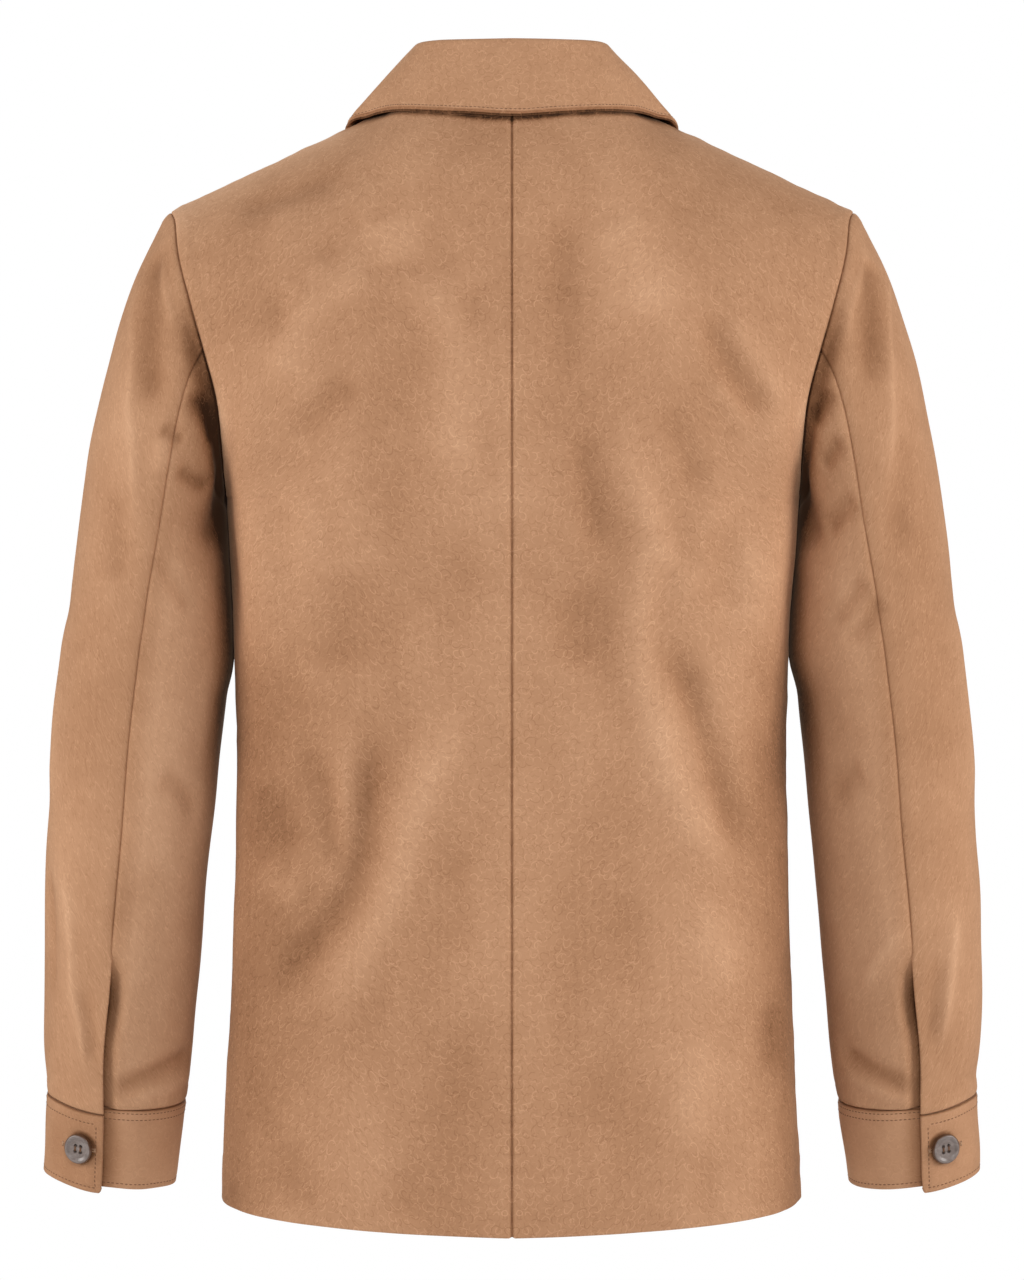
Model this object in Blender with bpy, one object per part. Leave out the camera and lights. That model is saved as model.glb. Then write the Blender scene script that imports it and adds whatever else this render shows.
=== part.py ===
"""A suede shirt jacket, held in the shape of a worn garment, as separate cut pieces.

+X is the wearer's left, the front faces -Y and +Z is up.  The origin is on the centre
plane at the height where the shoulder seams meet the collar.
Lengths in the tables are in millimetres and become metres in the meshes.
"""

import math

import bmesh
import bpy
import numpy as np
from mathutils import Matrix

MM = 0.001

# Driving dimensions, in millimetres
CLOTH = 1.8                 # one layer of suede with its backing
DOUBLED = 2.6               # two layers sewn together, in the collar and the cuffs
SEAM_GAP = 0.34             # between the pieces at a seam
LAP_GAP = 0.45              # between a layer and the one it lies over
NECK_HALF_WIDTH = 75.0
SHOULDER_POINT = (227.0, 0.0, -72.0)
NECK_SHARE = 5 / 14         # the share of a panel's top edge that is neckline
FRONT_LAP = 20.0            # how far each front reaches past the centre line
SECTION_POWER = 0.87        # 1 makes a section a true ellipse, less makes it squarer
SECTION_RISE = 1.3          # how late a section leaves the height of its centre line
NECK_DROP = {"back": 2.0, "front": 1.6}     # how late the neckline drops to its middle
NECK_FADE_ROWS = 4.6        # rows over which a panel settles from its top edge's shape
NECK_FADE = (2.0, 1.8, 1.5)                 # and how soon it does so in x, y and z
OUTWARD = {"back": 1, "front": -1}          # the sign that turns a grid's normals outwards

# How finely the pieces are divided
ARMHOLE_STEPS = 12          # rows from the shoulder point to the underarm
SIDE_STEPS = 13             # rows from the underarm to the hem
PANEL_COLUMNS = 14
CAP_STEPS = 8               # sleeve rows from the armhole to the upper arm
SLEEVE_RING = 2 * ARMHOLE_STEPS
HINDARM = 6                 # ring point of the seam at the back of the arm
FOREARM = 16                # ring point of the seam at the front of the arm
PROBE_ROWS = 0.04           # how far beside a point its panel is read for the normal there
PROBE_COLUMNS = 0.004

# Materials: name, colour and roughness
SUEDE = ("suede", (0.47, 0.28, 0.155, 1.0), 0.95)
SUEDE_TRIM = ("suede_trim", (0.44, 0.26, 0.145, 1.0), 0.95)
HORN = ("horn_button", (0.13, 0.095, 0.075, 1.0), 0.35)
SUEDE_CREASE = 50           # an edge turning by more degrees than this stays sharp
HORN_CREASE = 35

# The armhole seam as a closed loop: shoulder point, down the back, underarm, up the front
ARMHOLE_COLUMNS = ("x", "y", "z")
ARMHOLE = [
    (227.0, 0.0, -72.0), (222.6, 26.0, -80.0), (218.3, 47.0, -104.0), (209.5, 61.0, -136.0),
    (200.0, 67.0, -168.0), (192.0, 65.0, -199.0), (189.3, 53.0, -228.0), (188.9, 30.0, -251.0),
    (189.3, 0.0, -262.0), (187.5, -28.0, -252.0), (184.5, -48.0, -229.0), (184.5, -57.0, -197.0),
    (190.5, -58.0, -164.0), (200.5, -53.0, -132.0), (211.5, -42.0, -103.0), (221.5, -24.0, -80.5),
]

# The side seam below the underarm, at y = 0
SIDE_COLUMNS = ("x", "z")
SIDE_SEAM = [
    (189.3, -262.0), (187.0, -300.0), (184.5, -345.0), (182.6, -400.0), (181.6, -458.0),
    (183.4, -525.0), (186.3, -600.0), (189.4, -668.0), (191.7, -725.5),
]

# The centre lines, one row for each armhole row and then for each side seam row; wrap is
# how far round its quarter section a row has turned where it meets the seam, in degrees
CENTRE_COLUMNS = ("back_y", "back_z", "front_y", "front_z", "wrap")
CENTRES = [
    (62.0, -4.0, -85.0, -75.0, 48), (74.0, -12.0, -90.0, -84.0, 52),
    (87.0, -27.0, -96.0, -97.0, 56), (102.0, -56.0, -105.0, -119.0, 60),
    (113.0, -95.0, -115.0, -146.0, 64), (120.0, -138.0, -123.0, -175.0, 68),
    (124.0, -180.0, -128.0, -205.0, 74), (124.5, -222.0, -130.0, -235.0, 81),
    (122.0, -262.0, -130.0, -264.0, 90),
    (117.0, -301.0, -128.0, -302.0, 90), (111.0, -346.0, -124.0, -347.0, 90),
    (106.0, -402.0, -120.0, -402.0, 90), (104.5, -461.0, -119.0, -460.0, 90),
    (106.0, -529.0, -120.0, -528.0, 90), (110.5, -605.0, -122.0, -604.0, 90),
    (115.5, -674.0, -124.0, -672.0, 90), (119.0, -733.0, -125.0, -730.0, 90),
]

# The sleeve below the upper arm: height of the axis, innermost and outermost x, the axis's
# y, the ring's depth, and where the hindarm seam lies round the ring, in degrees
SLEEVE_COLUMNS = ("z", "inner_x", "outer_x", "axis_y", "depth", "seam")
SLEEVE = [
    (-276.0, 188.9, 285.8, -3.0, 134.0, 100), (-316.0, 186.4, 292.8, -5.0, 130.0, 94),
    (-343.0, 185.5, 296.3, -6.0, 126.0, 91), (-370.0, 188.7, 299.8, -7.0, 121.0, 90),
    (-423.0, 194.8, 305.3, -10.0, 113.0, 89), (-476.0, 200.2, 308.9, -14.0, 108.0, 89),
    (-529.0, 206.0, 312.8, -19.0, 103.0, 88), (-582.0, 211.1, 315.2, -25.0, 98.0, 87),
    (-625.0, 215.3, 315.4, -29.5, 94.0, 84), (-664.0, 220.0, 312.6, -33.5, 86.0, 83.5),
    (-717.0, 227.8, 315.2, -38.0, 77.0, 87.5),
]
CUFF_TOP = 9                # row of the table where the cuff is sewn on
SLEEVE_ROWS = (0, 0.7, 1.4, 2.1, 2.8, 3.4, 4.0, 4.6, 5.2, 5.8, 6.4, 6.9, 7.15, 7.45,
               8.0, 8.5, 8.995)
CAP_LEAVE = (0.68, 0.22, -0.74)     # the cloth's direction away from the armhole; y by side
CAP_PULL = (0.62, 0.9)              # how strongly both ends of the cap hold their direction
CAP_SPREAD = 0.27                   # how far the first ring still fans out, as a slope
SLOPE_ROWS = 0.2                    # rows each way over which the arm's slope is read

# Folds, each a straight line between two ends, with its half width and its height; on the
# back the first measure is x, and on a sleeve it is the angle round the ring in degrees
FOLD_COLUMNS = ("across1", "z1", "across2", "z2", "width", "height")
FOLD_HOLD = 0.25            # share of its length at each end over which a fold starts to fade
FOLD_FADE = 0.3             # and how fast, as a share of its length
BACK_FOLD_RIM = 6           # folds reach full height this many times nearer than across a panel
BACK_FOLDS = [
    (-84, -240, -92, -390, 16, 2.6), (-92, -390, -160, -515, 17, 3.4),
    (-126, -360, -158, -490, 16, -3.0), (-158, -190, -176, -300, 20, -2.6),
    (28, -390, 84, -520, 18, 2.6), (80, -430, 152, -580, 18, -3.0),
    (92, -160, 150, -250, 20, 2.0), (104, -330, 118, -430, 26, -2.0),
]
SLEEVE_FOLDS = [
    (62, -120, 78, -210, 12, 2.6), (66, -225, 60, -320, 11, 2.4),
    (105, -300, 150, -360, 12, -3.0), (50, -490, 58, -640, 11, 2.4),
    (100, -655, 140, -600, 11, -2.6), (285, -430, 235, -470, 13, -3.4),
    (300, -400, 250, -430, 11, 2.6),
]
ARM_DEGREE = 0.95           # millimetres round the arm in one degree
SLEEVE_FOLD_FADE = (3.0, 2.0)       # rows over which sleeve folds fade at the top and the cuff

# Where the collar's free edge lies on the panels: degrees round the neck from the back, the
# column and row of the back panel (turn up to 90) or the front one, and its lift off the cloth
EDGE_COLUMNS = ("turn", "column", "row", "lift")
COLLAR_EDGE = [
    (0, 0.0, 1.52, 3.2), (18, 0.10, 1.08, 3.2), (36, 0.225, 0.82, 3.4), (54, 0.34, 0.66, 4.0),
    (72, 0.428, 0.35, 3.8), (90, 0.500, 0.0, 3.7), (108, 0.473, 0.75, 3.6), (126, 0.405, 1.45, 3.6),
    (144, 0.325, 2.0, 3.6), (160, 0.25, 2.4, 3.6), (172, 0.19, 2.7, 3.6),
]
STAND_COLUMNS = ("turn", "height", "lean_in", "lean_back")
STAND = [
    (0, 34.3, 5.5, 0.0), (45, 34.3, 12.0, 0.0), (90, 33.0, 15.4, 0.0),
    (135, 31.0, 8.5, 3.0), (180, 28.0, -1.0, 4.0), (225, 28.0, -1.0, 4.0),
]
FALL_END = 172.0            # degrees round the neck where each end of the fall is sewn
FALL_COLUMNS = 36
FALL_SEAT = 1.6             # from the stand's top edge up to the fall's, past its facets
FALL_ROLL = 4.0             # radius of the roll where the collar turns over
FALL_ROLL_TURNS = (0, 50, 100, 145)
FALL_FLIGHT = 5             # rows between the roll and the free edge
FALL_SWELL = 1.0            # how far the fall bows out on its way down
FALL_SWELL_RISE = 0.8       # the upward share of that bow

# The vent above each cuff: sleeve table rows where the under sleeve drops beneath the upper
# one and where it starts to reach under it
VENT_DROPS = (6.5, 6.9)
VENT_LAPS = (6.95, 7.45)
VENT_DEPTH = 3.4
VENT_REACH = 12.0
VENT_STEP = 2.6             # the strip beside the seam that drops with the vent's edge
VENT_SAG = 0.6              # extra depth of the edge that reaches under

DROOP = 3.8                 # the upper sleeve and the cuff's lapped end hang lower at the vent
DROOP_SPREAD = 60.0         # degrees round the arm over which they do
DROOP_START = 7.2           # sleeve table row where they start to
CUFF_UNDER_END = 50.0       # degrees round the ring of the end that lies beneath
CUFF_UNDER_STEPS = 4
CUFF_STEPS = 22             # columns from the lapped end round to the one beneath
CUFF_LAP = (2.0, 6.0, 40.0)         # degrees past the seam where the lap starts to rise, where
#                                     the next column stands, and over which it rises
CUFF_ROWS = (0.0065, 0.5, 1.0)      # sleeve table rows below the cuff's seam
CUFF_PROUD = 0.7            # the cuff's outer face stands this far outside the sleeve's
CUFF_BUTTON_ANGLE = 66.0
CUFF_BUTTON_PROBE = 8.0     # degrees beside the button, and rows below the seam, for its normal
CUFF_BUTTON_ROWS = (0.42, 0.5, 0.58)
FRONT_BUTTON_ROWS = (4.0, 6.83, 9.27, 10.93, 12.32, 13.5)   # rows of the front panel
BUTTON_SIDES = 14
BUTTON_HOLE_SIDES = 6
BUTTON_DRILL = 12.0         # length of the tool that makes a hole
BUTTON_PROFILE = [(8.6, 0.0), (10.0, 1.1), (10.0, 2.6), (8.9, 3.4), (7.4, 2.5)]
BUTTON_HOLE_RADIUS = 1.05
BUTTON_HOLE_OFFSET = 2.0    # from the middle, along both of the button's axes

# The panels' columns, from the centre line (0) to the outer seam (1), and their rows
LAP_COLUMN = 0.055          # the column, past the centre line, where a front's edge is
LAP_UNDER = (0.07, 0.12)    # where the right front comes out from beneath, and over how much
BACK_U = np.linspace(0, 1, PANEL_COLUMNS + 1)
FRONT_U = np.concatenate([LAP_COLUMN * np.linspace(-1, 1, 5), BACK_U[2:]])
FRONT_CENTRE = 2            # places in FRONT_U of the centre line and the shoulder seam's end
BACK_NECK = int(round(NECK_SHARE * PANEL_COLUMNS))
FRONT_NECK = BACK_NECK + 3
PANEL_ROWS = np.concatenate([
    np.linspace(0, 8, ARMHOLE_STEPS + 1), np.linspace(8, 16, SIDE_STEPS + 1)[1:]])


def padded(table, closed=False):
    """The table with one more row at each end, for curves that pass through its rows."""
    table = np.asarray(table, float)
    if closed:
        return np.vstack([table[-1:], table, table[:2]])
    return np.vstack([2 * table[0] - table[1], table, 2 * table[-1] - table[-2]])


def read_between(table, where, closed=False):
    """Rows of the table read between its rows, on smooth Catmull-Rom curves."""
    rows = padded(table, closed)
    last = len(rows) - 4
    index = np.clip(np.floor(where).astype(int), 0, last)
    part = (np.asarray(where, float) - index)[..., None]
    a, b, c, d = (rows[index + step] for step in range(4))
    return b + 0.5 * part * (c - a + part * (2 * a - 5 * b + 4 * c - d
                                            + part * (3 * (b - c) + d - a)))


def by_name(rows, names):
    """The columns of a table, or of rows read from it, by their names."""
    return dict(zip(names, np.asarray(rows, float).T))


def unit(vectors):
    """The vectors at length one."""
    lengths = np.linalg.norm(vectors, axis=-1, keepdims=True)
    return vectors / np.maximum(lengths, 1e-12)


def ease(value):
    """0 to 1 with soft ends."""
    value = np.clip(value, 0.0, 1.0)
    return value * value * (3 - 2 * value)


def grid_normals(grid, outward):
    """Unit normals of a grid of points; outward is 1 or -1 to set which side they face."""
    down, across = np.gradient(grid, axis=(0, 1))
    return outward * unit(np.cross(across, down))


def fold_height(across, z, folds, scale=1.0):
    """Soft ridges and troughs, each a bell across its line that fades out at its ends."""
    total = np.zeros_like(across)
    for row in folds:
        fold = dict(zip(FOLD_COLUMNS, row))
        run = (fold["across2"] - fold["across1"]) * scale
        fall = fold["z2"] - fold["z1"]
        length = math.hypot(run, fall)
        off = (across - fold["across1"]) * scale
        down = z - fold["z1"]
        along = (off * run + down * fall) / length
        aside = (off * fall - down * run) / length
        beyond = along - np.clip(along, FOLD_HOLD * length, (1 - FOLD_HOLD) * length)
        total += fold["height"] * np.exp(-(aside / fold["width"]) ** 2
                                         - (beyond / (FOLD_FADE * length)) ** 2)
    return total


# ---- the body panels

def seam_and_centre(side, rows):
    """The outer edge (armhole, then side seam), the centre line and the wrap, by row."""
    rows = np.asarray(rows, float)
    armhole_rows = np.clip(rows, 0, 8)
    if side == "front":
        armhole_rows = 16 - armhole_rows
    edge = read_between(ARMHOLE, armhole_rows, closed=True)
    below = by_name(read_between(SIDE_SEAM, np.clip(rows - 8, 0, 8)), SIDE_COLUMNS)
    seam = np.stack([below["x"], np.zeros(len(rows)), below["z"]], axis=1)
    edge = np.where(rows[:, None] > 8, seam, edge)
    centre = by_name(read_between(CENTRES, rows), CENTRE_COLUMNS)
    wrap = np.radians(np.minimum(centre["wrap"], 90))
    return edge, centre[f"{side}_y"], centre[f"{side}_z"], wrap


def top_edge(side, columns):
    """The neckline, a quarter oval, and then the straight shoulder seam."""
    centre = dict(zip(CENTRE_COLUMNS, CENTRES[0]))
    turn = np.clip(columns / NECK_SHARE, -1, 1) * math.pi / 2
    along = np.clip((columns - NECK_SHARE) / (1 - NECK_SHARE), 0, 1)
    drop = np.cos(turn) ** NECK_DROP[side]
    x = NECK_HALF_WIDTH * np.sin(turn) + (SHOULDER_POINT[0] - NECK_HALF_WIDTH) * along
    y = centre[f"{side}_y"] * np.cos(turn)
    z = centre[f"{side}_z"] * drop + SHOULDER_POINT[2] * along
    return np.stack([x, y, z], axis=-1)


def section_rows(side, rows, columns):
    """Quarter sections from the centre line to the seam, squarer than an ellipse."""
    edge, centre_y, centre_z, wrap = seam_and_centre(side, rows)
    turn = columns[None, :] * wrap[:, None]
    end_sin = np.sin(wrap)[:, None]
    end_cos = np.clip(np.cos(wrap), 0, 1)[:, None] ** SECTION_POWER
    out = np.sign(turn) * (np.abs(np.sin(turn)) / end_sin) ** SECTION_POWER
    back = (np.clip(np.cos(turn), 0, 1) ** SECTION_POWER - end_cos) / (1 - end_cos)
    x = edge[:, :1] * out
    y = edge[:, 1:2] + (centre_y[:, None] - edge[:, 1:2]) * back
    z = centre_z[:, None] + (edge[:, 2:] - centre_z[:, None]) * np.abs(out) ** SECTION_RISE
    return np.stack([x, y, z], axis=-1)


def panel_points(side, rows, columns):
    """Outer points of a half body, on the wearer's left."""
    rows = np.asarray(rows, float)
    columns = np.asarray(columns, float)
    points = section_rows(side, rows, columns)
    change = top_edge(side, columns) - section_rows(side, np.zeros(1), columns)[0]
    near = 1 - np.clip(rows / NECK_FADE_ROWS, 0, 1)
    points = points + near[:, None, None] ** np.array(NECK_FADE) * change[None, :, :]
    if side == "front":
        lap = np.abs(columns) <= LAP_COLUMN
        points[:, lap, 0] = FRONT_LAP * columns[lap] / LAP_COLUMN
    return points


def mirrored(points):
    """The points on the wearer's right."""
    return points * np.array([-1.0, 1.0, 1.0])


def body_surfaces():
    """Outer points and normals of the four panels, before their seams are opened."""
    surfaces = {}
    for side, columns in (("back", BACK_U), ("front", FRONT_U)):
        for hand, sign in (("left", 1), ("right", -1)):
            points = panel_points(side, PANEL_ROWS, columns)
            normals = grid_normals(points, OUTWARD[side])
            if side == "back":
                height = fold_height(sign * points[..., 0], points[..., 2], BACK_FOLDS)
                rim = ease(BACK_FOLD_RIM * (1 - columns)) * ease(BACK_FOLD_RIM * columns)
                points = points + (height * rim)[..., None] * normals
            if side == "front" and hand == "right":
                under = 1 - ease((columns - LAP_UNDER[0]) / LAP_UNDER[1])
                points = points - ((CLOTH + LAP_GAP) * under)[None, :, None] * normals
            if sign < 0:
                points, normals = mirrored(points), mirrored(normals)
            surfaces[side, hand] = [points, normals]
    return surfaces


# ---- the sleeves

def sleeve_ring(row, angles):
    """One ring of the sleeve below the upper arm, square to the arm's axis."""
    rows = row + SLOPE_ROWS * np.array([-1.0, 0.0, 1.0])
    arm = by_name(read_between(SLEEVE, rows), SLEEVE_COLUMNS)
    middle = (arm["inner_x"] + arm["outer_x"]) / 2
    fall = arm["z"][0] - arm["z"][2]
    slope_x = (middle[2] - middle[0]) / fall
    slope_y = (arm["axis_y"][2] - arm["axis_y"][0]) / fall
    if row < 1:
        slope_x = slope_x + (CAP_SPREAD - slope_x) * (1 - row)
    out_x = (arm["outer_x"][1] - arm["inner_x"][1]) / 2 * np.cos(angles)
    out_y = arm["depth"][1] / 2 * np.sin(angles)
    return np.stack([middle[1] + out_x, arm["axis_y"][1] + out_y,
                     arm["z"][1] + slope_x * out_x + slope_y * out_y], axis=-1)


def ring_angles(row, steps):
    """Angles round the ring (0 outside, 90 degrees behind), drawn to the hindarm seam."""
    seam = by_name(read_between(SLEEVE, np.array([row])), SLEEVE_COLUMNS)["seam"]
    pull = np.clip(1 - np.abs(steps - HINDARM) / HINDARM, 0, 1)
    return np.radians(steps * 360 / SLEEVE_RING + (seam - 90) * pull)


def droop_at(angles, row):
    """How far the cloth hangs down beside the vent, by degrees before its edge and by row."""
    near = ease(1 - np.asarray(angles) / DROOP_SPREAD)
    return DROOP * near * ease((np.asarray(row) - DROOP_START) / (CUFF_TOP - DROOP_START))


def sleeve_points(rows):
    """Outer points of the left sleeve: cap rows from the armhole, then rings to the cuff."""
    steps = np.arange(SLEEVE_RING)
    armhole = read_between(ARMHOLE, steps * 16 / SLEEVE_RING, closed=True)
    upper = sleeve_ring(0.0, ring_angles(0.0, steps))
    below = sleeve_ring(0.25, ring_angles(0.25, steps))
    length = np.linalg.norm(upper - armhole, axis=1, keepdims=True)
    around = np.radians(steps * 360 / SLEEVE_RING)
    leave = unit(np.array(CAP_LEAVE) * np.stack(
        [np.ones(SLEEVE_RING), np.sin(around), np.ones(SLEEVE_RING)], axis=1))
    arrive = unit(below - upper)
    part = (np.arange(CAP_STEPS) / CAP_STEPS)[:, None, None]
    cap = ((2 * part ** 3 - 3 * part ** 2 + 1) * armhole
           + (part ** 3 - 2 * part ** 2 + part) * length * CAP_PULL[0] * leave
           + (3 * part ** 2 - 2 * part ** 3) * upper
           + (part ** 3 - part ** 2) * length * CAP_PULL[1] * arrive)
    rings = np.stack([sleeve_ring(row, ring_angles(row, steps)) for row in rows])
    return np.concatenate([cap, rings])


def sleeve_surface():
    """Outer points and normals of the left sleeve, with its folds."""
    points = sleeve_points(SLEEVE_ROWS)
    closed = np.concatenate([points[:, -1:], points, points[:, :1]], axis=1)
    normals = grid_normals(closed, -1)[:, 1:-1]
    degrees = np.broadcast_to(np.arange(SLEEVE_RING) * 360 / SLEEVE_RING, points.shape[:2])
    height = fold_height(degrees, points[..., 2], SLEEVE_FOLDS, scale=ARM_DEGREE)
    row = np.arange(len(points))
    fade = ease(row / SLEEVE_FOLD_FADE[0]) * ease((row[-1] - row) / SLEEVE_FOLD_FADE[1])
    points = points + (height * fade[:, None])[..., None] * normals
    return points, normals


# ---- seams: pieces that meet share their points and normals there, then draw back

def edge_shift(line, inside, normals, amount=SEAM_GAP / 2):
    """How far to draw an edge back along the cloth, square to its own line."""
    aside = unit(np.cross(normals, np.gradient(line, axis=0)))
    sign = np.sign(np.sum(aside * (inside - line), axis=1, keepdims=True))
    return amount * sign * aside


def flattened(normals, axis):
    """Normals laid in the plane of a seam that both its pieces share."""
    keep = np.ones(3)
    keep[axis] = 0.0
    return unit(normals * keep)


def join_seams(panels, sleeves, stand):
    """Sets common normals along every seam and opens each seam by the gap."""
    steps = ARMHOLE_STEPS
    base_normals = stand["normals"][0]
    nape = None
    for hand in ("left", "right"):
        back, back_normals = panels["back", hand]
        front, front_normals = panels["front", hand]
        back_normals[:, 0] = flattened(back_normals[:, 0], 0)
        for normals, neck in ((back_normals, BACK_NECK), (front_normals, FRONT_NECK)):
            normals[steps:, -1] = flattened(normals[steps:, -1], 1)
            normals[0, neck:] = flattened(normals[0, neck:], 1)

        shifts = []
        for points, normals, neck in ((back, back_normals, BACK_NECK),
                                      (front, front_normals, FRONT_NECK)):
            shift = np.zeros_like(points)
            for rows in (slice(0, steps + 1), slice(steps, None)):
                shift[rows, -1] += edge_shift(points[rows, -1], points[rows, -2],
                                              normals[rows, -1])
            for places in (slice(0, neck + 1), slice(neck, None)):
                shift[0, places] += edge_shift(points[0, places], points[1, places],
                                               normals[0, places])
            shifts.append(shift)
        shifts[0][:, 0] += edge_shift(back[:, 0], back[:, 1], back_normals[:, 0])

        # the armhole: the body's normals in the sleeve ring's order, then the common ones
        ring, ring_normals = sleeves[hand]
        corner_top = unit(back_normals[0, -1] + front_normals[0, -1])
        corner_under = unit(back_normals[steps, -1] + front_normals[steps, -1])
        body = np.concatenate([[corner_top], back_normals[1:steps, -1], [corner_under],
                               front_normals[1:steps, -1][::-1]])
        shared = unit(body + ring_normals[0])
        turned = np.arange(-1, SLEEVE_RING + 1) % SLEEVE_RING
        aside = edge_shift(ring[0, turned], ring[1, turned], ring_normals[0, turned])[1:-1]
        body_shift = np.concatenate([shifts[0][:steps + 1, -1],
                                     shifts[1][1:steps, -1][::-1]])
        alike = np.clip(np.sum(unit(aside) * unit(body_shift), axis=1, keepdims=True), 0, 1)
        ring[0] += aside + SEAM_GAP * alike * body
        ring_normals[0] = shared
        back_normals[:steps + 1, -1] = shared[:steps + 1]
        front_normals[:steps + 1, -1] = np.concatenate([shared, shared[:1]])[::-1][:steps + 1]

        # the neckline: the panels' normals and the stand's
        corner = unit(back_normals[0, BACK_NECK] + front_normals[0, FRONT_NECK])
        back_normals[0, BACK_NECK] = front_normals[0, FRONT_NECK] = corner
        back_slots, front_slots = stand["back", hand], stand["front", hand]
        joint_back = unit(back_normals[0, :BACK_NECK + 1] + base_normals[back_slots])
        joint_front = unit(front_normals[0, :FRONT_NECK + 1] + base_normals[front_slots])
        joint_back[-1] = joint_front[-1] = unit(joint_back[-1] + joint_front[-1])
        if nape is None:
            nape = flattened(joint_back[0], 0)
        joint_back[0] = nape
        back_normals[0, :BACK_NECK + 1] = base_normals[back_slots] = joint_back
        front_normals[0, :FRONT_NECK + 1] = base_normals[front_slots] = joint_front
        back += shifts[0]
        front += shifts[1]
    stand["points"][0] += edge_shift(stand["points"][0], stand["points"][1], base_normals)


# ---- collar

def neck_path(panels):
    """The neckline from the left front's edge round the back to the right front's edge,
    the turn round the neck of each point, and each panel's places on the path."""
    front_turn = 180 - 90 * FRONT_U[:FRONT_NECK] / NECK_SHARE
    back_turn = 90 * BACK_U[:BACK_NECK + 1] / NECK_SHARE
    left, right = (np.concatenate([panels["front", hand][0][0, :FRONT_NECK],
                                   panels["back", hand][0][0, :BACK_NECK + 1][::-1]])
                   for hand in ("left", "right"))
    turns = np.concatenate([front_turn, back_turn[::-1]])
    middle = FRONT_NECK + BACK_NECK
    last = 2 * middle
    places = {
        ("front", "left"): np.arange(FRONT_NECK + 1),
        ("back", "left"): np.arange(FRONT_NECK, middle + 1)[::-1],
        ("back", "right"): np.arange(middle, last - FRONT_NECK + 1),
        ("front", "right"): np.arange(last - FRONT_NECK, last + 1)[::-1],
    }
    points = np.concatenate([left, right[:-1][::-1]])
    return points, np.concatenate([turns, -turns[:-1][::-1]]), places


def stand_top(points, turns):
    """The stand's upper edge over points of the neckline."""
    table = by_name(STAND, STAND_COLUMNS)
    height, lean_in, lean_back = (
        np.interp(np.abs(turns), table["turn"], table[name]) for name in STAND_COLUMNS[1:])
    away = unit(points * np.array([1.0, 1.0, 0.0]))
    top = points - lean_in[:, None] * away
    top[:, 1] += lean_back
    top[:, 2] += height
    return top


def stand_surface(panels):
    """Outer points and normals of the collar stand, with the slots of each panel on it."""
    base, turns, places = neck_path(panels)
    top = stand_top(base, turns)
    points = np.stack([base + (top - base) * part for part in (0.0, 0.5, 1.0)])
    return {"points": points, "normals": grid_normals(points, 1), **places}


def point_on_panel(side, column, row):
    """A point of a panel on the wearer's left, and the normal there."""
    rows = np.maximum(row + PROBE_ROWS * np.array([-1.0, 0.0, 1.0]), 0.0)
    columns = column + PROBE_COLUMNS * np.array([-1.0, 0.0, 1.0])
    grid = panel_points(side, rows, columns)
    return grid[1, 1], grid_normals(grid, OUTWARD[side])[1, 1]


def collar_edge(turns):
    """The free edge of the collar's fall at these turns round the neck."""
    marks = []
    for row in COLLAR_EDGE:
        mark = dict(zip(EDGE_COLUMNS, row))
        side = "back" if mark["turn"] <= 90 else "front"
        point, normal = point_on_panel(side, mark["column"], mark["row"])
        marks.append(point + mark["lift"] * normal)
    marks = np.array(marks)
    table = np.concatenate([mirrored(marks[:0:-1]), marks])
    mark_turns = by_name(COLLAR_EDGE, EDGE_COLUMNS)["turn"]
    table_turns = np.concatenate([-mark_turns[:0:-1], mark_turns])
    return read_between(table, np.interp(turns, table_turns, np.arange(len(table))))


def neckline_at(turns):
    """Points of the neckline seam at any turn round the neck."""
    angle = np.radians(np.abs(turns))
    behind = np.abs(turns) <= 90
    columns = np.where(behind, angle, math.pi - angle) / (math.pi / 2) * NECK_SHARE
    points = np.where(behind[:, None], top_edge("back", columns), top_edge("front", columns))
    points[:, 0] *= np.sign(turns)
    return points


def fall_surface():
    """Outer points and normals of the collar's fall, from the roll to its free edge."""
    turns = np.linspace(FALL_END, -FALL_END, FALL_COLUMNS + 1)
    start = stand_top(neckline_at(turns), turns)
    away = unit(start * np.array([1.0, 1.0, 0.0]))
    up = np.array([0.0, 0.0, 1.0])
    start = start - CLOTH * away + FALL_SEAT * up
    edge = collar_edge(turns)
    rows = []
    for degrees in FALL_ROLL_TURNS:
        angle = math.radians(degrees)
        rows.append(start + FALL_ROLL * ((1 - math.cos(angle)) * away + math.sin(angle) * up))
    last = rows[-1]
    swell = FALL_SWELL * unit(away + FALL_SWELL_RISE * up)
    for step in range(1, FALL_FLIGHT + 1):
        part = step / FALL_FLIGHT
        rows.append(last + (edge - last) * part + math.sin(math.pi * part) * swell)
    points = np.stack(rows)
    normals = grid_normals(points, -1)
    normals[0] = -away
    return points, normals


# ---- cuffs and buttons

def cuff_surface():
    """Outer points and normals of the left cuff, whose ends lap at the hindarm seam."""
    seam, hem_seam = by_name(SLEEVE, SLEEVE_COLUMNS)["seam"][CUFF_TOP:CUFF_TOP + 2]
    beneath = np.linspace(CUFF_UNDER_END, seam, CUFF_UNDER_STEPS)
    around = np.linspace(seam + CUFF_LAP[1], 360 + CUFF_UNDER_END, CUFF_STEPS + 1)[:-1]
    angles = np.concatenate([beneath, around, beneath + 360])
    over = ease((angles - seam - CUFF_LAP[0]) / CUFF_LAP[2])
    depth = CUFF_PROUD - (DOUBLED + LAP_GAP) * (1 - over)
    rings = np.stack([sleeve_ring(CUFF_TOP + row, np.radians(angles + (hem_seam - seam) * row))
                      for row in CUFF_ROWS])
    rings[..., 2] -= droop_at(seam + 360 - angles, CUFF_TOP)
    normals = grid_normals(rings, -1)
    return rings + depth[None, :, None] * normals, normals


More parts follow.
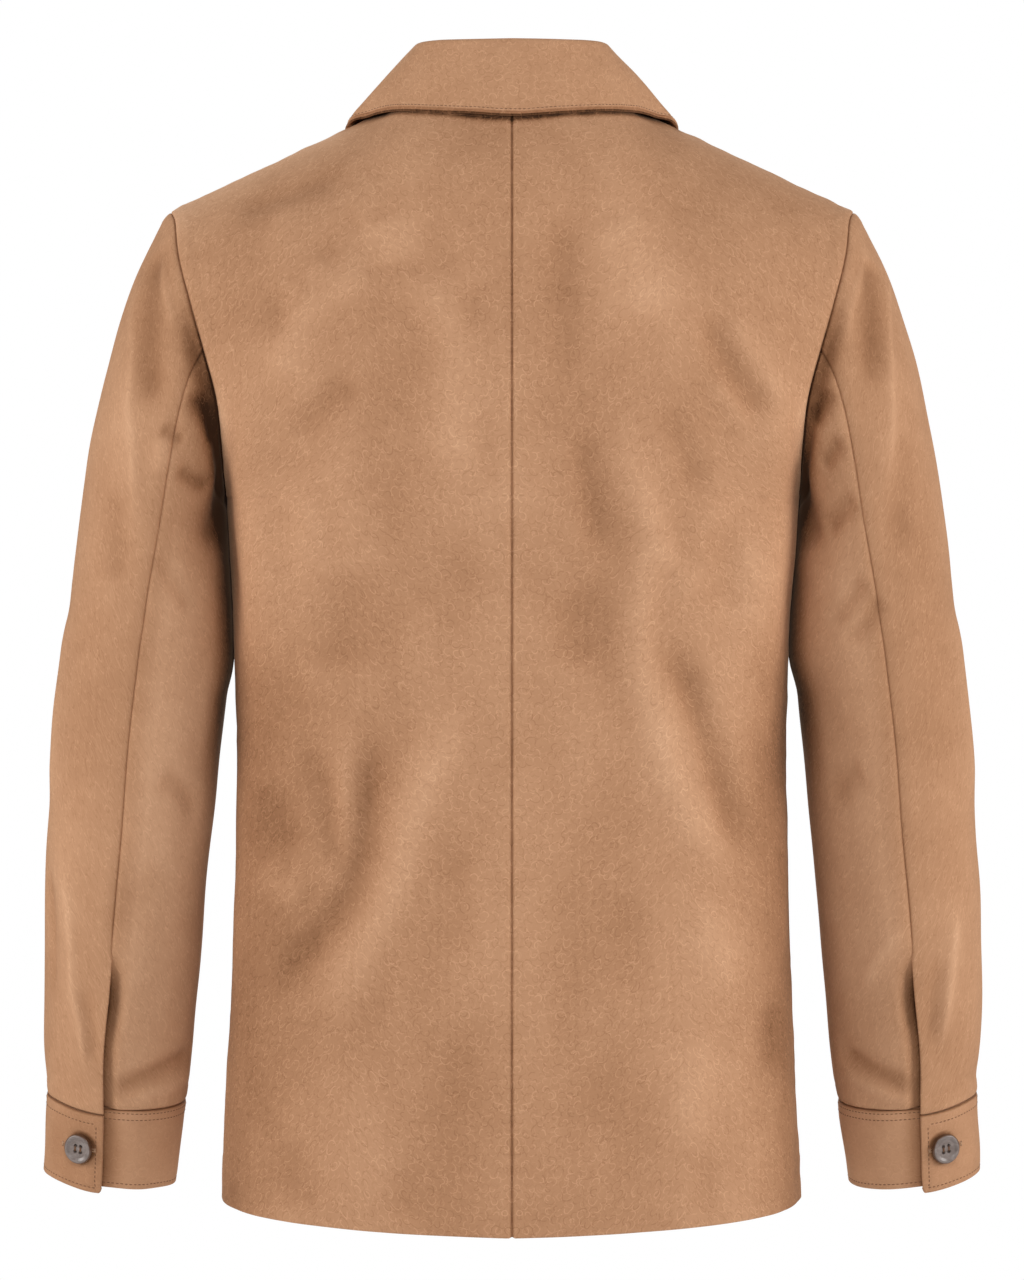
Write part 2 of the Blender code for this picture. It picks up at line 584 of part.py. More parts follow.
def button_mesh():
    """A turned four-hole button with a raised rim; its back is at z = 0."""
    work = bmesh.new()
    turns = np.linspace(0, 2 * math.pi, BUTTON_SIDES, endpoint=False)
    rings = []
    for radius, height in BUTTON_PROFILE:
        rings.append([work.verts.new((radius * MM * math.cos(turn), radius * MM * math.sin(turn),
                                      height * MM)) for turn in turns])
    for low, high in zip(rings, rings[1:]):
        for step in range(BUTTON_SIDES):
            after = (step + 1) % BUTTON_SIDES
            work.faces.new((low[step], low[after], high[after], high[step]))
    work.faces.new(rings[0][::-1])
    work.faces.new(rings[-1])
    disc = bpy.data.meshes.new("button_disc")
    work.to_mesh(disc)
    work.free()
    cutter = bmesh.new()
    for x, y in ((1, 1), (1, -1), (-1, 1), (-1, -1)):
        made = bmesh.ops.create_cone(
            cutter, cap_ends=True, segments=BUTTON_HOLE_SIDES, depth=BUTTON_DRILL * MM,
            radius1=BUTTON_HOLE_RADIUS * MM, radius2=BUTTON_HOLE_RADIUS * MM)
        bmesh.ops.translate(cutter, verts=made["verts"],
                            vec=(x * BUTTON_HOLE_OFFSET * MM, y * BUTTON_HOLE_OFFSET * MM, 0))
    holes = bpy.data.meshes.new("button_holes")
    cutter.to_mesh(holes)
    cutter.free()
    blank = bpy.data.objects.new("button_blank", disc)
    drill = bpy.data.objects.new("button_drill", holes)
    for thing in (blank, drill):
        bpy.context.scene.collection.objects.link(thing)
    cut = blank.modifiers.new("holes", "BOOLEAN")
    cut.object = drill
    cut.operation = "DIFFERENCE"
    evaluated = blank.evaluated_get(bpy.context.evaluated_depsgraph_get())
    mesh = bpy.data.meshes.new_from_object(evaluated)
    mesh.name = "button"
    for thing in (blank, drill):
        bpy.data.objects.remove(thing, do_unlink=True)
    mesh.materials.clear()
    mesh.materials.append(material(*HORN))
    mesh.shade_smooth()
    mesh.set_sharp_from_angle(angle=math.radians(HORN_CREASE))
    return mesh


def place_button(name, mesh, point, normal, upward):
    """A button whose back lies just off a point of the cloth."""
    side = unit(np.cross(upward, normal))
    above = np.cross(normal, side)
    piece = bpy.data.objects.new(name, mesh)
    matrix = np.eye(4)
    matrix[:3, 0] = side
    matrix[:3, 1] = above
    matrix[:3, 2] = normal
    matrix[:3, 3] = (point + LAP_GAP * normal) * MM
    piece.matrix_world = Matrix(matrix.tolist())
    bpy.context.scene.collection.objects.link(piece)


# ---- walls

def wall(name, outer, normals, thickness, colour):
    """A closed wall from its outer points: an inner copy, and a rim round the edges."""
    rows, columns = outer.shape[:2]
    inner = outer - thickness * normals
    corners = np.concatenate([outer.reshape(-1, 3), inner.reshape(-1, 3)]) * MM
    index = np.arange(rows * columns).reshape(rows, columns)
    under = index + rows * columns
    quads = np.stack([index[:-1, :-1], index[:-1, 1:], index[1:, 1:], index[1:, :-1]], axis=-1)
    quads = quads.reshape(-1, 4)
    faces = quads.tolist() + (quads[:, ::-1] + rows * columns).tolist()
    rim = ((index[0], under[0]), (index[:, -1], under[:, -1]),
           (index[-1, ::-1], under[-1, ::-1]), (index[::-1, 0], under[::-1, 0]))
    for line, below in rim:
        faces.extend(np.stack([line[1:], line[:-1], below[:-1], below[1:]], axis=-1).tolist())
    return solid(name, corners, faces, colour)


def solid(name, corners, faces, colour):
    """A mesh object from corners in metres, with its faces turned outwards."""
    mesh = bpy.data.meshes.new(name)
    mesh.from_pydata(np.asarray(corners).tolist(), [], faces)
    work = bmesh.new()
    work.from_mesh(mesh)
    bmesh.ops.triangulate(work, faces=work.faces[:])
    bmesh.ops.recalc_face_normals(work, faces=work.faces[:])
    work.to_mesh(mesh)
    work.free()
    mesh.shade_smooth()
    mesh.set_sharp_from_angle(angle=math.radians(SUEDE_CREASE))
    piece = bpy.data.objects.new(name, mesh)
    piece.data.materials.append(material(*colour))
    bpy.context.scene.collection.objects.link(piece)
    return piece


def material(name, colour, roughness):
    """The named material, made the first time it is asked for."""
    made = bpy.data.materials.get(name)
    if made is None:
        made = bpy.data.materials.new(name)
        made.use_nodes = True
        shader = made.node_tree.nodes["Principled BSDF"]
        shader.inputs["Base Color"].default_value = colour
        shader.inputs["Roughness"].default_value = roughness
        shader.inputs["Metallic"].default_value = 0.0
        made.diffuse_color = colour
    return made


def sleeve_pieces(hand, points, normals):
    """The upper and under sleeve, parted at two seams; the under one tucks in at the vent."""
    half = SEAM_GAP / 2
    upper = np.arange(FOREARM, SLEEVE_RING + HINDARM + 1) % SLEEVE_RING
    under = np.arange(HINDARM, FOREARM + 1)
    table_rows = np.concatenate([np.full(CAP_STEPS, -1.0), SLEEVE_ROWS])
    for name, ring in (("upper", upper), ("under", under)):
        outer = points[:, ring].copy()
        facing = normals[:, ring].copy()
        if name == "upper":
            before = (len(upper) - 1 - np.arange(len(upper))) * 360 / SLEEVE_RING
            outer[..., 2] -= droop_at(before[None, :], table_rows[:, None])
        outer[:, 0] += half * unit(outer[:, 1] - outer[:, 0])
        outer[:, -1] += half * unit(outer[:, -2] - outer[:, -1])
        if name == "under":
            drop = ease((table_rows - VENT_DROPS[0]) / (VENT_DROPS[1] - VENT_DROPS[0]))
            lap = ease((table_rows - VENT_LAPS[0]) / (VENT_LAPS[1] - VENT_LAPS[0]))
            along = unit(outer[:, 1] - outer[:, 0])
            step = outer[:, 0] + VENT_STEP * along
            beside = points[:, HINDARM - 1]
            reach = outer[:, 0] + lap[:, None] * VENT_REACH * unit(beside - outer[:, 0])
            sink = VENT_DEPTH * drop[:, None] * facing[:, 0]
            sag = VENT_SAG * lap[:, None] * normals[:, HINDARM - 1]
            outer = np.concatenate([(reach - sink - sag)[:, None], (step - sink)[:, None],
                                    outer[:, 1:]], axis=1)
            facing = np.concatenate([facing[:, :1], facing[:, :1], facing[:, 1:]], axis=1)
        wall(f"sleeve_{hand}_{name}", outer, facing, CLOTH, SUEDE)


def front_buttons(mesh, stand):
    """Buttons down the centre line of the left front, and one on the collar stand."""
    upward = np.array([0.0, 0.0, 1.0])
    for number, row in enumerate(FRONT_BUTTON_ROWS, start=1):
        point, normal = point_on_panel("front", 0.0, row)
        place_button(f"button_front_{number}", mesh, point, normal, upward)
    point, normal = (stand[name][1, FRONT_CENTRE] for name in ("points", "normals"))
    place_button("button_neck", mesh, point, normal, upward)


def cuff_button(hand, mesh, sign):
    """One button on the lapped end of a cuff."""
    beside = CUFF_BUTTON_PROBE * np.array([-1.0, 0.0, 1.0])
    angles = np.radians(CUFF_BUTTON_ANGLE + beside)
    grid = np.stack([sleeve_ring(CUFF_TOP + row, angles) for row in CUFF_BUTTON_ROWS])
    seam = by_name(SLEEVE, SLEEVE_COLUMNS)["seam"][CUFF_TOP]
    grid[..., 2] -= droop_at(seam - CUFF_BUTTON_ANGLE, CUFF_TOP)
    normal = grid_normals(grid, -1)[1, 1]
    point = grid[1, 1] + CUFF_PROUD * normal
    upward = unit(grid[0, 1] - grid[2, 1])
    flip = np.array([sign, 1.0, 1.0])
    place_button(f"button_cuff_{hand}", mesh, point * flip, normal * flip, upward * flip)


def main():
    for thing in list(bpy.data.objects):
        bpy.data.objects.remove(thing, do_unlink=True)
    panels = body_surfaces()
    points, normals = sleeve_surface()
    sleeves = {"left": [points, normals], "right": [mirrored(points), mirrored(normals)]}
    stand = stand_surface(panels)
    join_seams(panels, sleeves, stand)
    for (side, hand), (points, normals) in panels.items():
        wall(f"{side}_{hand}", points, normals, CLOTH, SUEDE)
    for hand, (points, normals) in sleeves.items():
        sleeve_pieces(hand, points, normals)
    wall("collar_stand", stand["points"], stand["normals"], CLOTH, SUEDE_TRIM)
    points, normals = fall_surface()
    wall("collar_fall", points, normals, DOUBLED, SUEDE_TRIM)
    points, normals = cuff_surface()
    wall("cuff_left", points, normals, DOUBLED, SUEDE_TRIM)
    wall("cuff_right", mirrored(points), mirrored(normals), DOUBLED, SUEDE_TRIM)
    mesh = button_mesh()
    front_buttons(mesh, stand)
    cuff_button("left", mesh, 1.0)
    cuff_button("right", mesh, -1.0)


main()
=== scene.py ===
# Looks for a suede shirt jacket that keeps the hollow shape of a worn garment.
# +X is the wearer's left, the front faces -Y, +Z is up, and the neck is at the origin.
# Tables and points are in millimetres; meshes, lights and the camera are in metres.

import math

import bpy
import numpy as np
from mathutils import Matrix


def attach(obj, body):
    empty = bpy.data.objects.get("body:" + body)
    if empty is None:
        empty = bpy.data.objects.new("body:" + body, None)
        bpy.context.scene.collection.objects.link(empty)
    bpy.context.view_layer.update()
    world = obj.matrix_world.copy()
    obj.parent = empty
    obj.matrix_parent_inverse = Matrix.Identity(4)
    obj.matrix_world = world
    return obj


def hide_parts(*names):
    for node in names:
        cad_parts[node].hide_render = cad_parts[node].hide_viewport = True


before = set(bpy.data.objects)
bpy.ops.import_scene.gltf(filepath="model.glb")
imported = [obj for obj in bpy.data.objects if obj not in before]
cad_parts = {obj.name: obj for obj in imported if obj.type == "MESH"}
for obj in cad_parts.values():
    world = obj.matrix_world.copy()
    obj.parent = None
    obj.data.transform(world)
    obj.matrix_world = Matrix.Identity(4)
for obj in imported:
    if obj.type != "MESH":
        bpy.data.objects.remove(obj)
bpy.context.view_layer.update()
mm = 0.001
print("frame loaded:", len(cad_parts), "nodes")

# ---- short ways to make nodes, materials and objects


class Nodes:
    def __init__(self, tree):
        self.tree = tree

    def fill(self, node, inputs):
        # a socket is linked to the input of that name, and anything else is its value
        for name, value in inputs.items():
            if isinstance(value, bpy.types.NodeSocket):
                self.tree.links.new(value, node.inputs[name])
            else:
                node.inputs[name].default_value = value
        return node

    def add(self, kind, inputs=None, **settings):
        node = self.tree.nodes.new(kind)
        for name, value in settings.items():
            setattr(node, name, value)
        return self.fill(node, inputs or {})

    def math(self, operation, a, b=0.0, c=0.0):
        return self.add("ShaderNodeMath", {0: a, 1: b, 2: c}, operation=operation).outputs[0]

    def vector(self, operation, a, b, c=(0.0, 0.0, 0.0)):
        return self.add("ShaderNodeVectorMath", {0: a, 1: b, 2: c}, operation=operation).outputs[0]

    def noise(self, place, size, detail=2.0, roughness=0.5, distortion=0.0):
        return self.add("ShaderNodeTexNoise", {
            "Vector": place, "Scale": size, "Detail": detail, "Roughness": roughness,
            "Distortion": distortion}).outputs["Fac"]

    def attribute(self, name):
        return self.add("ShaderNodeAttribute", attribute_name=name).outputs["Fac"]


def newGroup(name, inputs, outputs):
    group = bpy.data.node_groups.new(name, "ShaderNodeTree")
    for socket, (kind, value) in inputs.items():
        made = group.interface.new_socket(socket, in_out="INPUT", socket_type=kind)
        if value is not None:
            made.default_value = value
    for socket, kind in outputs.items():
        group.interface.new_socket(socket, in_out="OUTPUT", socket_type=kind)
    nodes = Nodes(group)
    return group, nodes, nodes.add("NodeGroupInput").outputs, nodes.add("NodeGroupOutput")


def newMaterial(name, colour):
    material = bpy.data.materials.new(name)
    material.use_nodes = True
    material.diffuse_color = (*colour, 1.0)
    return material, Nodes(material.node_tree), material.node_tree.nodes["Principled BSDF"]


def putInScene(name, data):
    holder = bpy.data.objects.new(name, data)
    bpy.context.scene.collection.objects.link(holder)
    return holder


# ---- camera, lights and floor

view = {
    "distance": 2.6,            # from the centre of the jacket, straight behind the wearer
    "height": -0.3032,
    "pixel": 0.000665,          # size of one pixel at the jacket, in a picture 1280 high
    "pictureHeight": 1280,
    "risePixels": 80,           # the jacket sits this much above the middle of the lens
    "floor": -1.46, "floorRadius": 2.6, "floorSides": 96, "floorColour": (0.9, 0.9, 0.9),
}
studio = {
    "white": 1.0,               # what the camera sees behind the jacket
    "glow": 0.12,               # the room's own soft light
    "aim": (0.0, 0.0, -0.35),   # where the lights point
    "lightColour": (1.0, 0.98, 0.96),
    "left": {"at": (2.5, 0.75, 0.2), "size": 1.3, "power": 42},
    "right": {"at": (-2.5, 0.75, 0.2), "size": 1.3, "power": 42},
    "back": {"at": (-0.2, 2.8, 0.9), "size": 1.4, "power": 42},
    "front": {"at": (0.0, -2.8, 0.7), "size": 1.8, "power": 60},
}


def makeCamera():
    camera = bpy.data.cameras.new("camera")
    camera.sensor_fit = "VERTICAL"
    camera.sensor_height = 36.0
    tall = view["pixel"] * view["pictureHeight"]
    camera.lens = camera.sensor_height * view["distance"] / tall
    camera.shift_y = -view["risePixels"] / view["pictureHeight"]
    holder = putInScene("camera", camera)
    holder.location = (0.0, view["distance"], view["height"])
    holder.rotation_euler = (math.pi / 2, 0.0, math.pi)
    bpy.context.scene.camera = holder


def makeLight(name, at, size, power):
    light = bpy.data.lights.new(name, "AREA")
    light.size, light.energy, light.color = size, power, studio["lightColour"]
    holder = putInScene(name, light)
    holder.location = at
    aim = np.array(at) - np.array(studio["aim"])
    turn = math.atan2(aim[1], aim[0]) + math.pi / 2
    tilt = math.acos(aim[2] / np.linalg.norm(aim))
    holder.rotation_euler = (tilt, 0.0, turn)


def makeRoom():
    # white behind the jacket, and a softer even light on it
    world = bpy.data.worlds.new("room")
    world.use_nodes = True
    world.node_tree.nodes.clear()
    nodes = Nodes(world.node_tree)
    seen = nodes.add("ShaderNodeLightPath").outputs["Is Camera Ray"]
    glow, white = (nodes.add("ShaderNodeBackground", {"Color": (1.0, 1.0, 1.0, 1.0),
                                                      "Strength": studio[name]}).outputs[0]
                   for name in ("glow", "white"))
    mix = nodes.add("ShaderNodeMixShader", {0: seen, 1: glow, 2: white}).outputs[0]
    nodes.add("ShaderNodeOutputWorld", {"Surface": mix})
    bpy.context.scene.world = world
    bpy.context.scene.view_settings.view_transform = "Standard"


def makeFloor():
    sides = view["floorSides"]
    around = np.linspace(0, 2 * math.pi, sides, endpoint=False)
    rim = np.stack([np.cos(around), np.sin(around), np.zeros(sides)], axis=1)
    rim = rim * view["floorRadius"] + [0.0, 0.0, view["floor"]]
    mesh = bpy.data.meshes.new("floor")
    mesh.from_pydata(rim.tolist(), [], [list(range(sides))])
    pale, nodes, shader = newMaterial("paleFloor", view["floorColour"])
    nodes.fill(shader, {"Base Color": (*view["floorColour"], 1.0), "Roughness": 0.9})
    mesh.materials.append(pale)
    floor = putInScene("floor", mesh)


makeCamera()
makeRoom()
makeFloor()
for lightName in ("left", "right", "back", "front"):
    makeLight(lightName, **studio[lightName])
print("camera, lights and floor")

# ---- curves and grids


def readBetween(table, where, closed=False):
    # the smooth curve through the table's rows (Catmull-Rom), read at fractional row numbers
    table = np.asarray(table, float)
    if closed:
        rows = np.vstack([table[-1:], table, table[:2]])
    else:
        rows = np.vstack([2 * table[0] - table[1], table, 2 * table[-1] - table[-2]])
    index = np.clip(np.floor(where).astype(int), 0, len(rows) - 4)
    part = (np.asarray(where, float) - index)[..., None]
    a, b, c, d = (rows[index + step] for step in range(4))
    return b + 0.5 * part * (c - a + part * (2 * a - 5 * b + 4 * c - d
                                            + part * (3 * (b - c) + d - a)))


def length(vectors):
    return np.linalg.norm(vectors, axis=-1)


def unit(vectors):
    return vectors / np.maximum(length(vectors), 1e-12)[..., None]


def ease(value):
    # 0 to 1 with soft ends: v * v * (3 - 2v)
    value = np.clip(value, 0.0, 1.0)
    return value * value * (3 - 2 * value)


def above(value, start, rise):
    # 0 up to start, then softly to 1 over that rise
    return ease((value - start) / rise)


def below(value, start, fall):
    # 0 down to start, then softly to 1 over that fall
    return ease((start - value) / fall)


def between(value, low, rise, high, fall):
    # 1 from low + rise to high - fall, with soft ends that reach 0 at low and high
    return above(value, low, rise) * below(value, high, fall)


def hill(value, width):
    # 1 at 0, falling softly to both sides: exp(-(v / width)^2)
    return np.exp(-(value / width) ** 2)


def gridNormals(grid, outward):
    down, across = np.gradient(grid, axis=(0, 1))
    return outward * unit(np.cross(across, down))


def drawn(count, start=0.0, end=0.0):
    # 0 to 1 in count steps that shrink towards the start and the end by those pulls
    t = np.linspace(0, 1, count + 1)
    bare = t - start * (1 - (1 - t) ** 4) / 4 - end * t ** 4 / 4
    return bare / (1 - start / 4 - end / 4)


def fromEdge(grid, edge):
    # the grid turned so that this edge is its first row
    grid = grid if edge in ("top", "bottom") else np.swapaxes(grid, 0, 1)
    return grid[::-1] if edge in ("bottom", "right") else grid


def edgeDistance(points, edge):
    # how far each point is from an edge, measured along the grid's own lines
    turned = fromEdge(points, edge)
    steps = length(np.diff(turned, axis=0))
    far = np.concatenate([np.zeros((1, steps.shape[1])), np.cumsum(steps, axis=0)])
    far = far[::-1] if edge in ("bottom", "right") else far
    return far if edge in ("top", "bottom") else far.T


# ---- the cut: the same tables as the solids'

cut = {
    "cloth": 1.8,
    "doubled": 2.6,
    "lapGap": 0.45,
    "neckHalfWidth": 75.0,
    "shoulderPoint": (227.0, 0.0, -72.0),
    "neckShare": 5 / 14,        # share of a panel's top edge that is neckline
    "frontLap": 20.0,
    "lapColumn": 0.055,
    "lapUnder": (0.07, 0.12),
    "squareness": 0.87,
    "sectionRise": 1.3,
    "neckDrop": {"back": 2.0, "front": 1.6},
    "neckFadeRows": 4.6,
    "neckFade": (2.0, 1.8, 1.5),
    # the corner between neckline and shoulder: how far to each side the mean is taken, over
    # how many rows it comes in, and how far from the shoulder's end
    "cornerReach": 0.12, "cornerRows": 1.3, "cornerEnd": 0.3,
}
outward = {"back": 1, "front": -1}
hands = ("left", "right")

# the armhole seam, x y z: shoulder point, down the back, underarm, up the front
armhole = [
    (227.0, 0.0, -72.0), (222.6, 26.0, -80.0), (218.3, 47.0, -104.0), (209.5, 61.0, -136.0),
    (200.0, 67.0, -168.0), (192.0, 65.0, -199.0), (189.3, 53.0, -228.0), (188.9, 30.0, -251.0),
    (189.3, 0.0, -262.0), (187.5, -28.0, -252.0), (184.5, -48.0, -229.0), (184.5, -57.0, -197.0),
    (190.5, -58.0, -164.0), (200.5, -53.0, -132.0), (211.5, -42.0, -103.0), (221.5, -24.0, -80.5),
]
# the side seam below it, x z
sideSeam = [
    (189.3, -262.0), (187.0, -300.0), (184.5, -345.0), (182.6, -400.0), (181.6, -458.0),
    (183.4, -525.0), (186.3, -600.0), (189.4, -668.0), (191.7, -725.5),
]
# back y and z, front y and z, and how far round its quarter section a row turns, in degrees
centres = [
    (62.0, -4.0, -85.0, -75.0, 48), (74.0, -12.0, -90.0, -84.0, 52),
    (87.0, -27.0, -96.0, -97.0, 56), (102.0, -56.0, -105.0, -119.0, 60),
    (113.0, -95.0, -115.0, -146.0, 64), (120.0, -138.0, -123.0, -175.0, 68),
    (124.0, -180.0, -128.0, -205.0, 74), (124.5, -222.0, -130.0, -235.0, 81),
    (122.0, -262.0, -130.0, -264.0, 90),
    (117.0, -301.0, -128.0, -302.0, 90), (111.0, -346.0, -124.0, -347.0, 90),
    (106.0, -402.0, -120.0, -402.0, 90), (104.5, -461.0, -119.0, -460.0, 90),
    (106.0, -529.0, -120.0, -528.0, 90), (110.5, -605.0, -122.0, -604.0, 90),
    (115.5, -674.0, -124.0, -672.0, 90), (119.0, -733.0, -125.0, -730.0, 90),
]
# the sleeve's rings: z, inner x, outer x, axis y, depth, angle of the hindarm seam
sleeveTable = [
    (-276.0, 188.9, 285.8, -3.0, 134.0, 100), (-316.0, 186.4, 292.8, -5.0, 130.0, 94),
    (-343.0, 185.5, 296.3, -6.0, 126.0, 91), (-370.0, 188.7, 299.8, -7.0, 121.0, 90),
    (-423.0, 194.8, 305.3, -10.0, 113.0, 89), (-476.0, 200.2, 308.9, -14.0, 108.0, 89),
    (-529.0, 206.0, 312.8, -19.0, 103.0, 88), (-582.0, 211.1, 315.2, -25.0, 98.0, 87),
    (-625.0, 215.3, 315.4, -29.5, 94.0, 84), (-664.0, 220.0, 312.6, -33.5, 86.0, 83.5),
    (-717.0, 227.8, 315.2, -38.0, 77.0, 87.5),
]
arm = {
    "cuffTop": 9,
    "capLeave": (0.68, 0.22, -0.74),
    "capPull": (0.62, 0.9),
    "capSpread": 0.27,
    "hindarm": 6.0,             # where that seam lies, of 24 places round the armhole
}

# how finely each piece is divided, with smaller steps beside its seams
armholeSteps = (48, 16, 26)     # down to the hindarm seam, to the forearm's place, and below
armholeRows = np.concatenate([
    4 * drawn(armholeSteps[0], 0.8, 0.85), 4 + 4 / 3 * drawn(armholeSteps[1], 0.8, 0.8)[1:],
    16 / 3 + 8 / 3 * drawn(armholeSteps[2], 0.8, 0.3)[1:]])
bodyRows = np.concatenate([armholeRows, 8 + 8 * drawn(116, 0.3, 0.85)[1:]])
neckColumns = cut["neckShare"] * drawn(34, 0.85, 0.5)
shoulderColumns = cut["neckShare"] + (1 - cut["neckShare"]) * drawn(62, 0.5, 0.85)
backColumns = np.concatenate([neckColumns, shoulderColumns[1:]])
frontColumns = np.concatenate([
    cut["lapColumn"] * (2 * drawn(24, 0.85, 0.0) - 1),
    cut["lapColumn"] + (cut["neckShare"] - cut["lapColumn"]) * drawn(30, 0.0, 0.5)[1:],
    shoulderColumns[1:]])
backNeck = 34
frontNeck = 54
underarm = len(armholeRows) - 1


def mirrored(points):
    return points * np.array([-1.0, 1.0, 1.0])


def forHand(points, hand):
    # everything is worked out for the wearer's left
    return points if hand == "left" else mirrored(points)


def seamAndCentre(side, rows):
    armholeRow = np.clip(rows, 0, 8)
    if side == "front":
        armholeRow = 16 - armholeRow
    edge = readBetween(armhole, armholeRow, closed=True)
    below = readBetween(sideSeam, np.clip(rows - 8, 0, 8))
    seam = np.stack([below[:, 0], np.zeros(len(rows)), below[:, 1]], axis=1)
    edge = np.where(rows[:, None] > 8, seam, edge)
    centre = readBetween(centres, rows)
    first = 0 if side == "back" else 2
    wrap = np.radians(np.minimum(centre[:, 4], 90))
    return edge, centre[:, first], centre[:, first + 1], wrap


def topEdge(side, columns):
    # a quarter oval for the neckline, then the straight shoulder seam
    centreY, centreZ = centres[0][:2] if side == "back" else centres[0][2:4]
    turn = np.clip(columns / cut["neckShare"], -1, 1) * math.pi / 2
    along = np.clip((columns - cut["neckShare"]) / (1 - cut["neckShare"]), 0, 1)
    drop = np.cos(turn) ** cut["neckDrop"][side]
    run = cut["shoulderPoint"][0] - cut["neckHalfWidth"]
    x = cut["neckHalfWidth"] * np.sin(turn) + run * along
    return np.stack([x, centreY * np.cos(turn), centreZ * drop
                     + cut["shoulderPoint"][2] * along], axis=-1)


def sectionRows(side, rows, columns):
    # a quarter of a squared ellipse: x = a sin^p(t), y = b cos^p(t), from centre to seam
    edge, centreY, centreZ, wrap = seamAndCentre(side, rows)
    p = cut["squareness"]
    turn = columns[None, :] * wrap[:, None]
    endSin = np.sin(wrap)[:, None]
    endCos = np.clip(np.cos(wrap), 0, 1)[:, None] ** p
    out = np.sign(turn) * (np.abs(np.sin(turn)) / endSin) ** p
    back = (np.clip(np.cos(turn), 0, 1) ** p - endCos) / (1 - endCos)
    x = edge[:, :1] * out
    y = edge[:, 1:2] + (centreY[:, None] - edge[:, 1:2]) * back
    rise = np.abs(out) ** cut["sectionRise"]
    return np.stack([x, y, centreZ[:, None] + (edge[:, 2:] - centreZ[:, None]) * rise], axis=-1)


def panelPoints(side, rows, columns):
    # sections, plus what the top edge asks for, fading downwards; below the edge itself its
    # corner between neckline and shoulder is rounded by taking the mean of places beside it
    rows = np.asarray(rows, float)
    columns = np.asarray(columns, float)
    points = sectionRows(side, rows, columns)
    first = sectionRows(side, np.zeros(1), columns)[0]
    change = topEdge(side, columns) - first
    beside = np.linspace(-1, 1, 9) * cut["cornerReach"]
    weights = np.cos(0.8 * np.linspace(-1, 1, 9) * math.pi / 2) ** 2
    rounded = sum(weight * (topEdge(side, columns + shift)
                            - sectionRows(side, np.zeros(1), columns + shift)[0])
                  for shift, weight in zip(beside, weights)) / weights.sum()
    blend = (ease(rows / cut["cornerRows"])[:, None]
             * ease((1 - np.abs(columns)) / cut["cornerEnd"])[None, :])
    change = change[None] + blend[..., None] * (rounded - change)[None]
    near = 1 - np.clip(rows / cut["neckFadeRows"], 0, 1)
    points = points + near[:, None, None] ** np.array(cut["neckFade"]) * change
    if side == "front":
        straight = cut["frontLap"] * columns / cut["lapColumn"]
        past = ease((np.abs(columns) - cut["lapColumn"]) / cut["lapColumn"])
        points[..., 0] = straight + (points[..., 0] - straight) * past
    return points


def spotOn(side, row, column):
    # a point of a panel's own surface, and the way it faces
    rows = np.maximum(row + np.array([-0.04, 0.0, 0.04]), 0.0)
    grid = panelPoints(side, rows, column + np.array([-0.004, 0.0, 0.004]))
    return grid[1, 1], gridNormals(grid, outward[side])[1, 1]


def sleeveRing(rows, angles):
    # ovals square to the arm's axis: rows is one number or one for each row of angles
    rows = np.asarray(rows, float)
    here = readBetween(sleeveTable, rows)
    before = readBetween(sleeveTable, rows - 0.2)
    after = readBetween(sleeveTable, rows + 0.2)
    fall = before[..., 0] - after[..., 0]
    slopeX = (after[..., 1] + after[..., 2] - before[..., 1] - before[..., 2]) / 2 / fall
    slopeY = (after[..., 3] - before[..., 3]) / fall
    slopeX = slopeX + (arm["capSpread"] - slopeX) * np.clip(1 - rows, 0, 1)
    z, inner, outer, axisY, depth = (here[..., place, None] for place in range(5))
    outX = (outer - inner) / 2 * np.cos(angles)
    outY = depth / 2 * np.sin(angles)
    lift = slopeX[..., None] * outX + slopeY[..., None] * outY
    return np.stack([(inner + outer) / 2 + outX, axisY + outY, z + lift], axis=-1)


def ringAngles(rows, steps):
    # 24 places make a turn; those near the hindarm seam are drawn to it
    seam = readBetween(sleeveTable, np.asarray(rows, float))[..., 5]
    pull = np.clip(1 - np.abs(steps - arm["hindarm"]) / arm["hindarm"], 0, 1)
    return np.radians(steps * 15 + (seam[..., None] - 90) * pull)


capParts = drawn(52, 0.85, 0.0)[:-1]
ringRows = (arm["cuffTop"] - 0.005) * drawn(128, 0.0, 0.85)
ringSteps = np.concatenate([1.5 * armholeRows, 24 - 1.5 * armholeRows[1:-1][::-1]])
hindarmColumn = armholeSteps[0]
forearmColumn = len(ringSteps) - armholeSteps[0] - armholeSteps[1]
sleeveRowNumbers = np.concatenate([np.full(len(capParts), -1.0), ringRows])


def sleevePoints():
    # the cap runs from the armhole to the first ring on Hermite curves, then rings follow
    top = readBetween(armhole, ringSteps * 16 / 24, closed=True)
    first, second = sleeveRing([0.0, 0.25], ringAngles([0.0, 0.25], ringSteps))
    reach = length(first - top)[:, None]
    around = np.radians(ringSteps * 15)
    leave = unit(np.array(arm["capLeave"]) * np.stack(
        [np.ones(len(around)), np.sin(around), np.ones(len(around))], axis=1))
    arrive = unit(second - first)
    t = capParts[:, None, None]
    cap = ((2 * t ** 3 - 3 * t ** 2 + 1) * top
           + (t ** 3 - 2 * t ** 2 + t) * reach * arm["capPull"][0] * leave
           + (3 * t ** 2 - 2 * t ** 3) * first
           + (t ** 3 - t ** 2) * reach * arm["capPull"][1] * arrive)
    return np.concatenate([cap, sleeveRing(ringRows, ringAngles(ringRows, ringSteps))])


# ---- folds

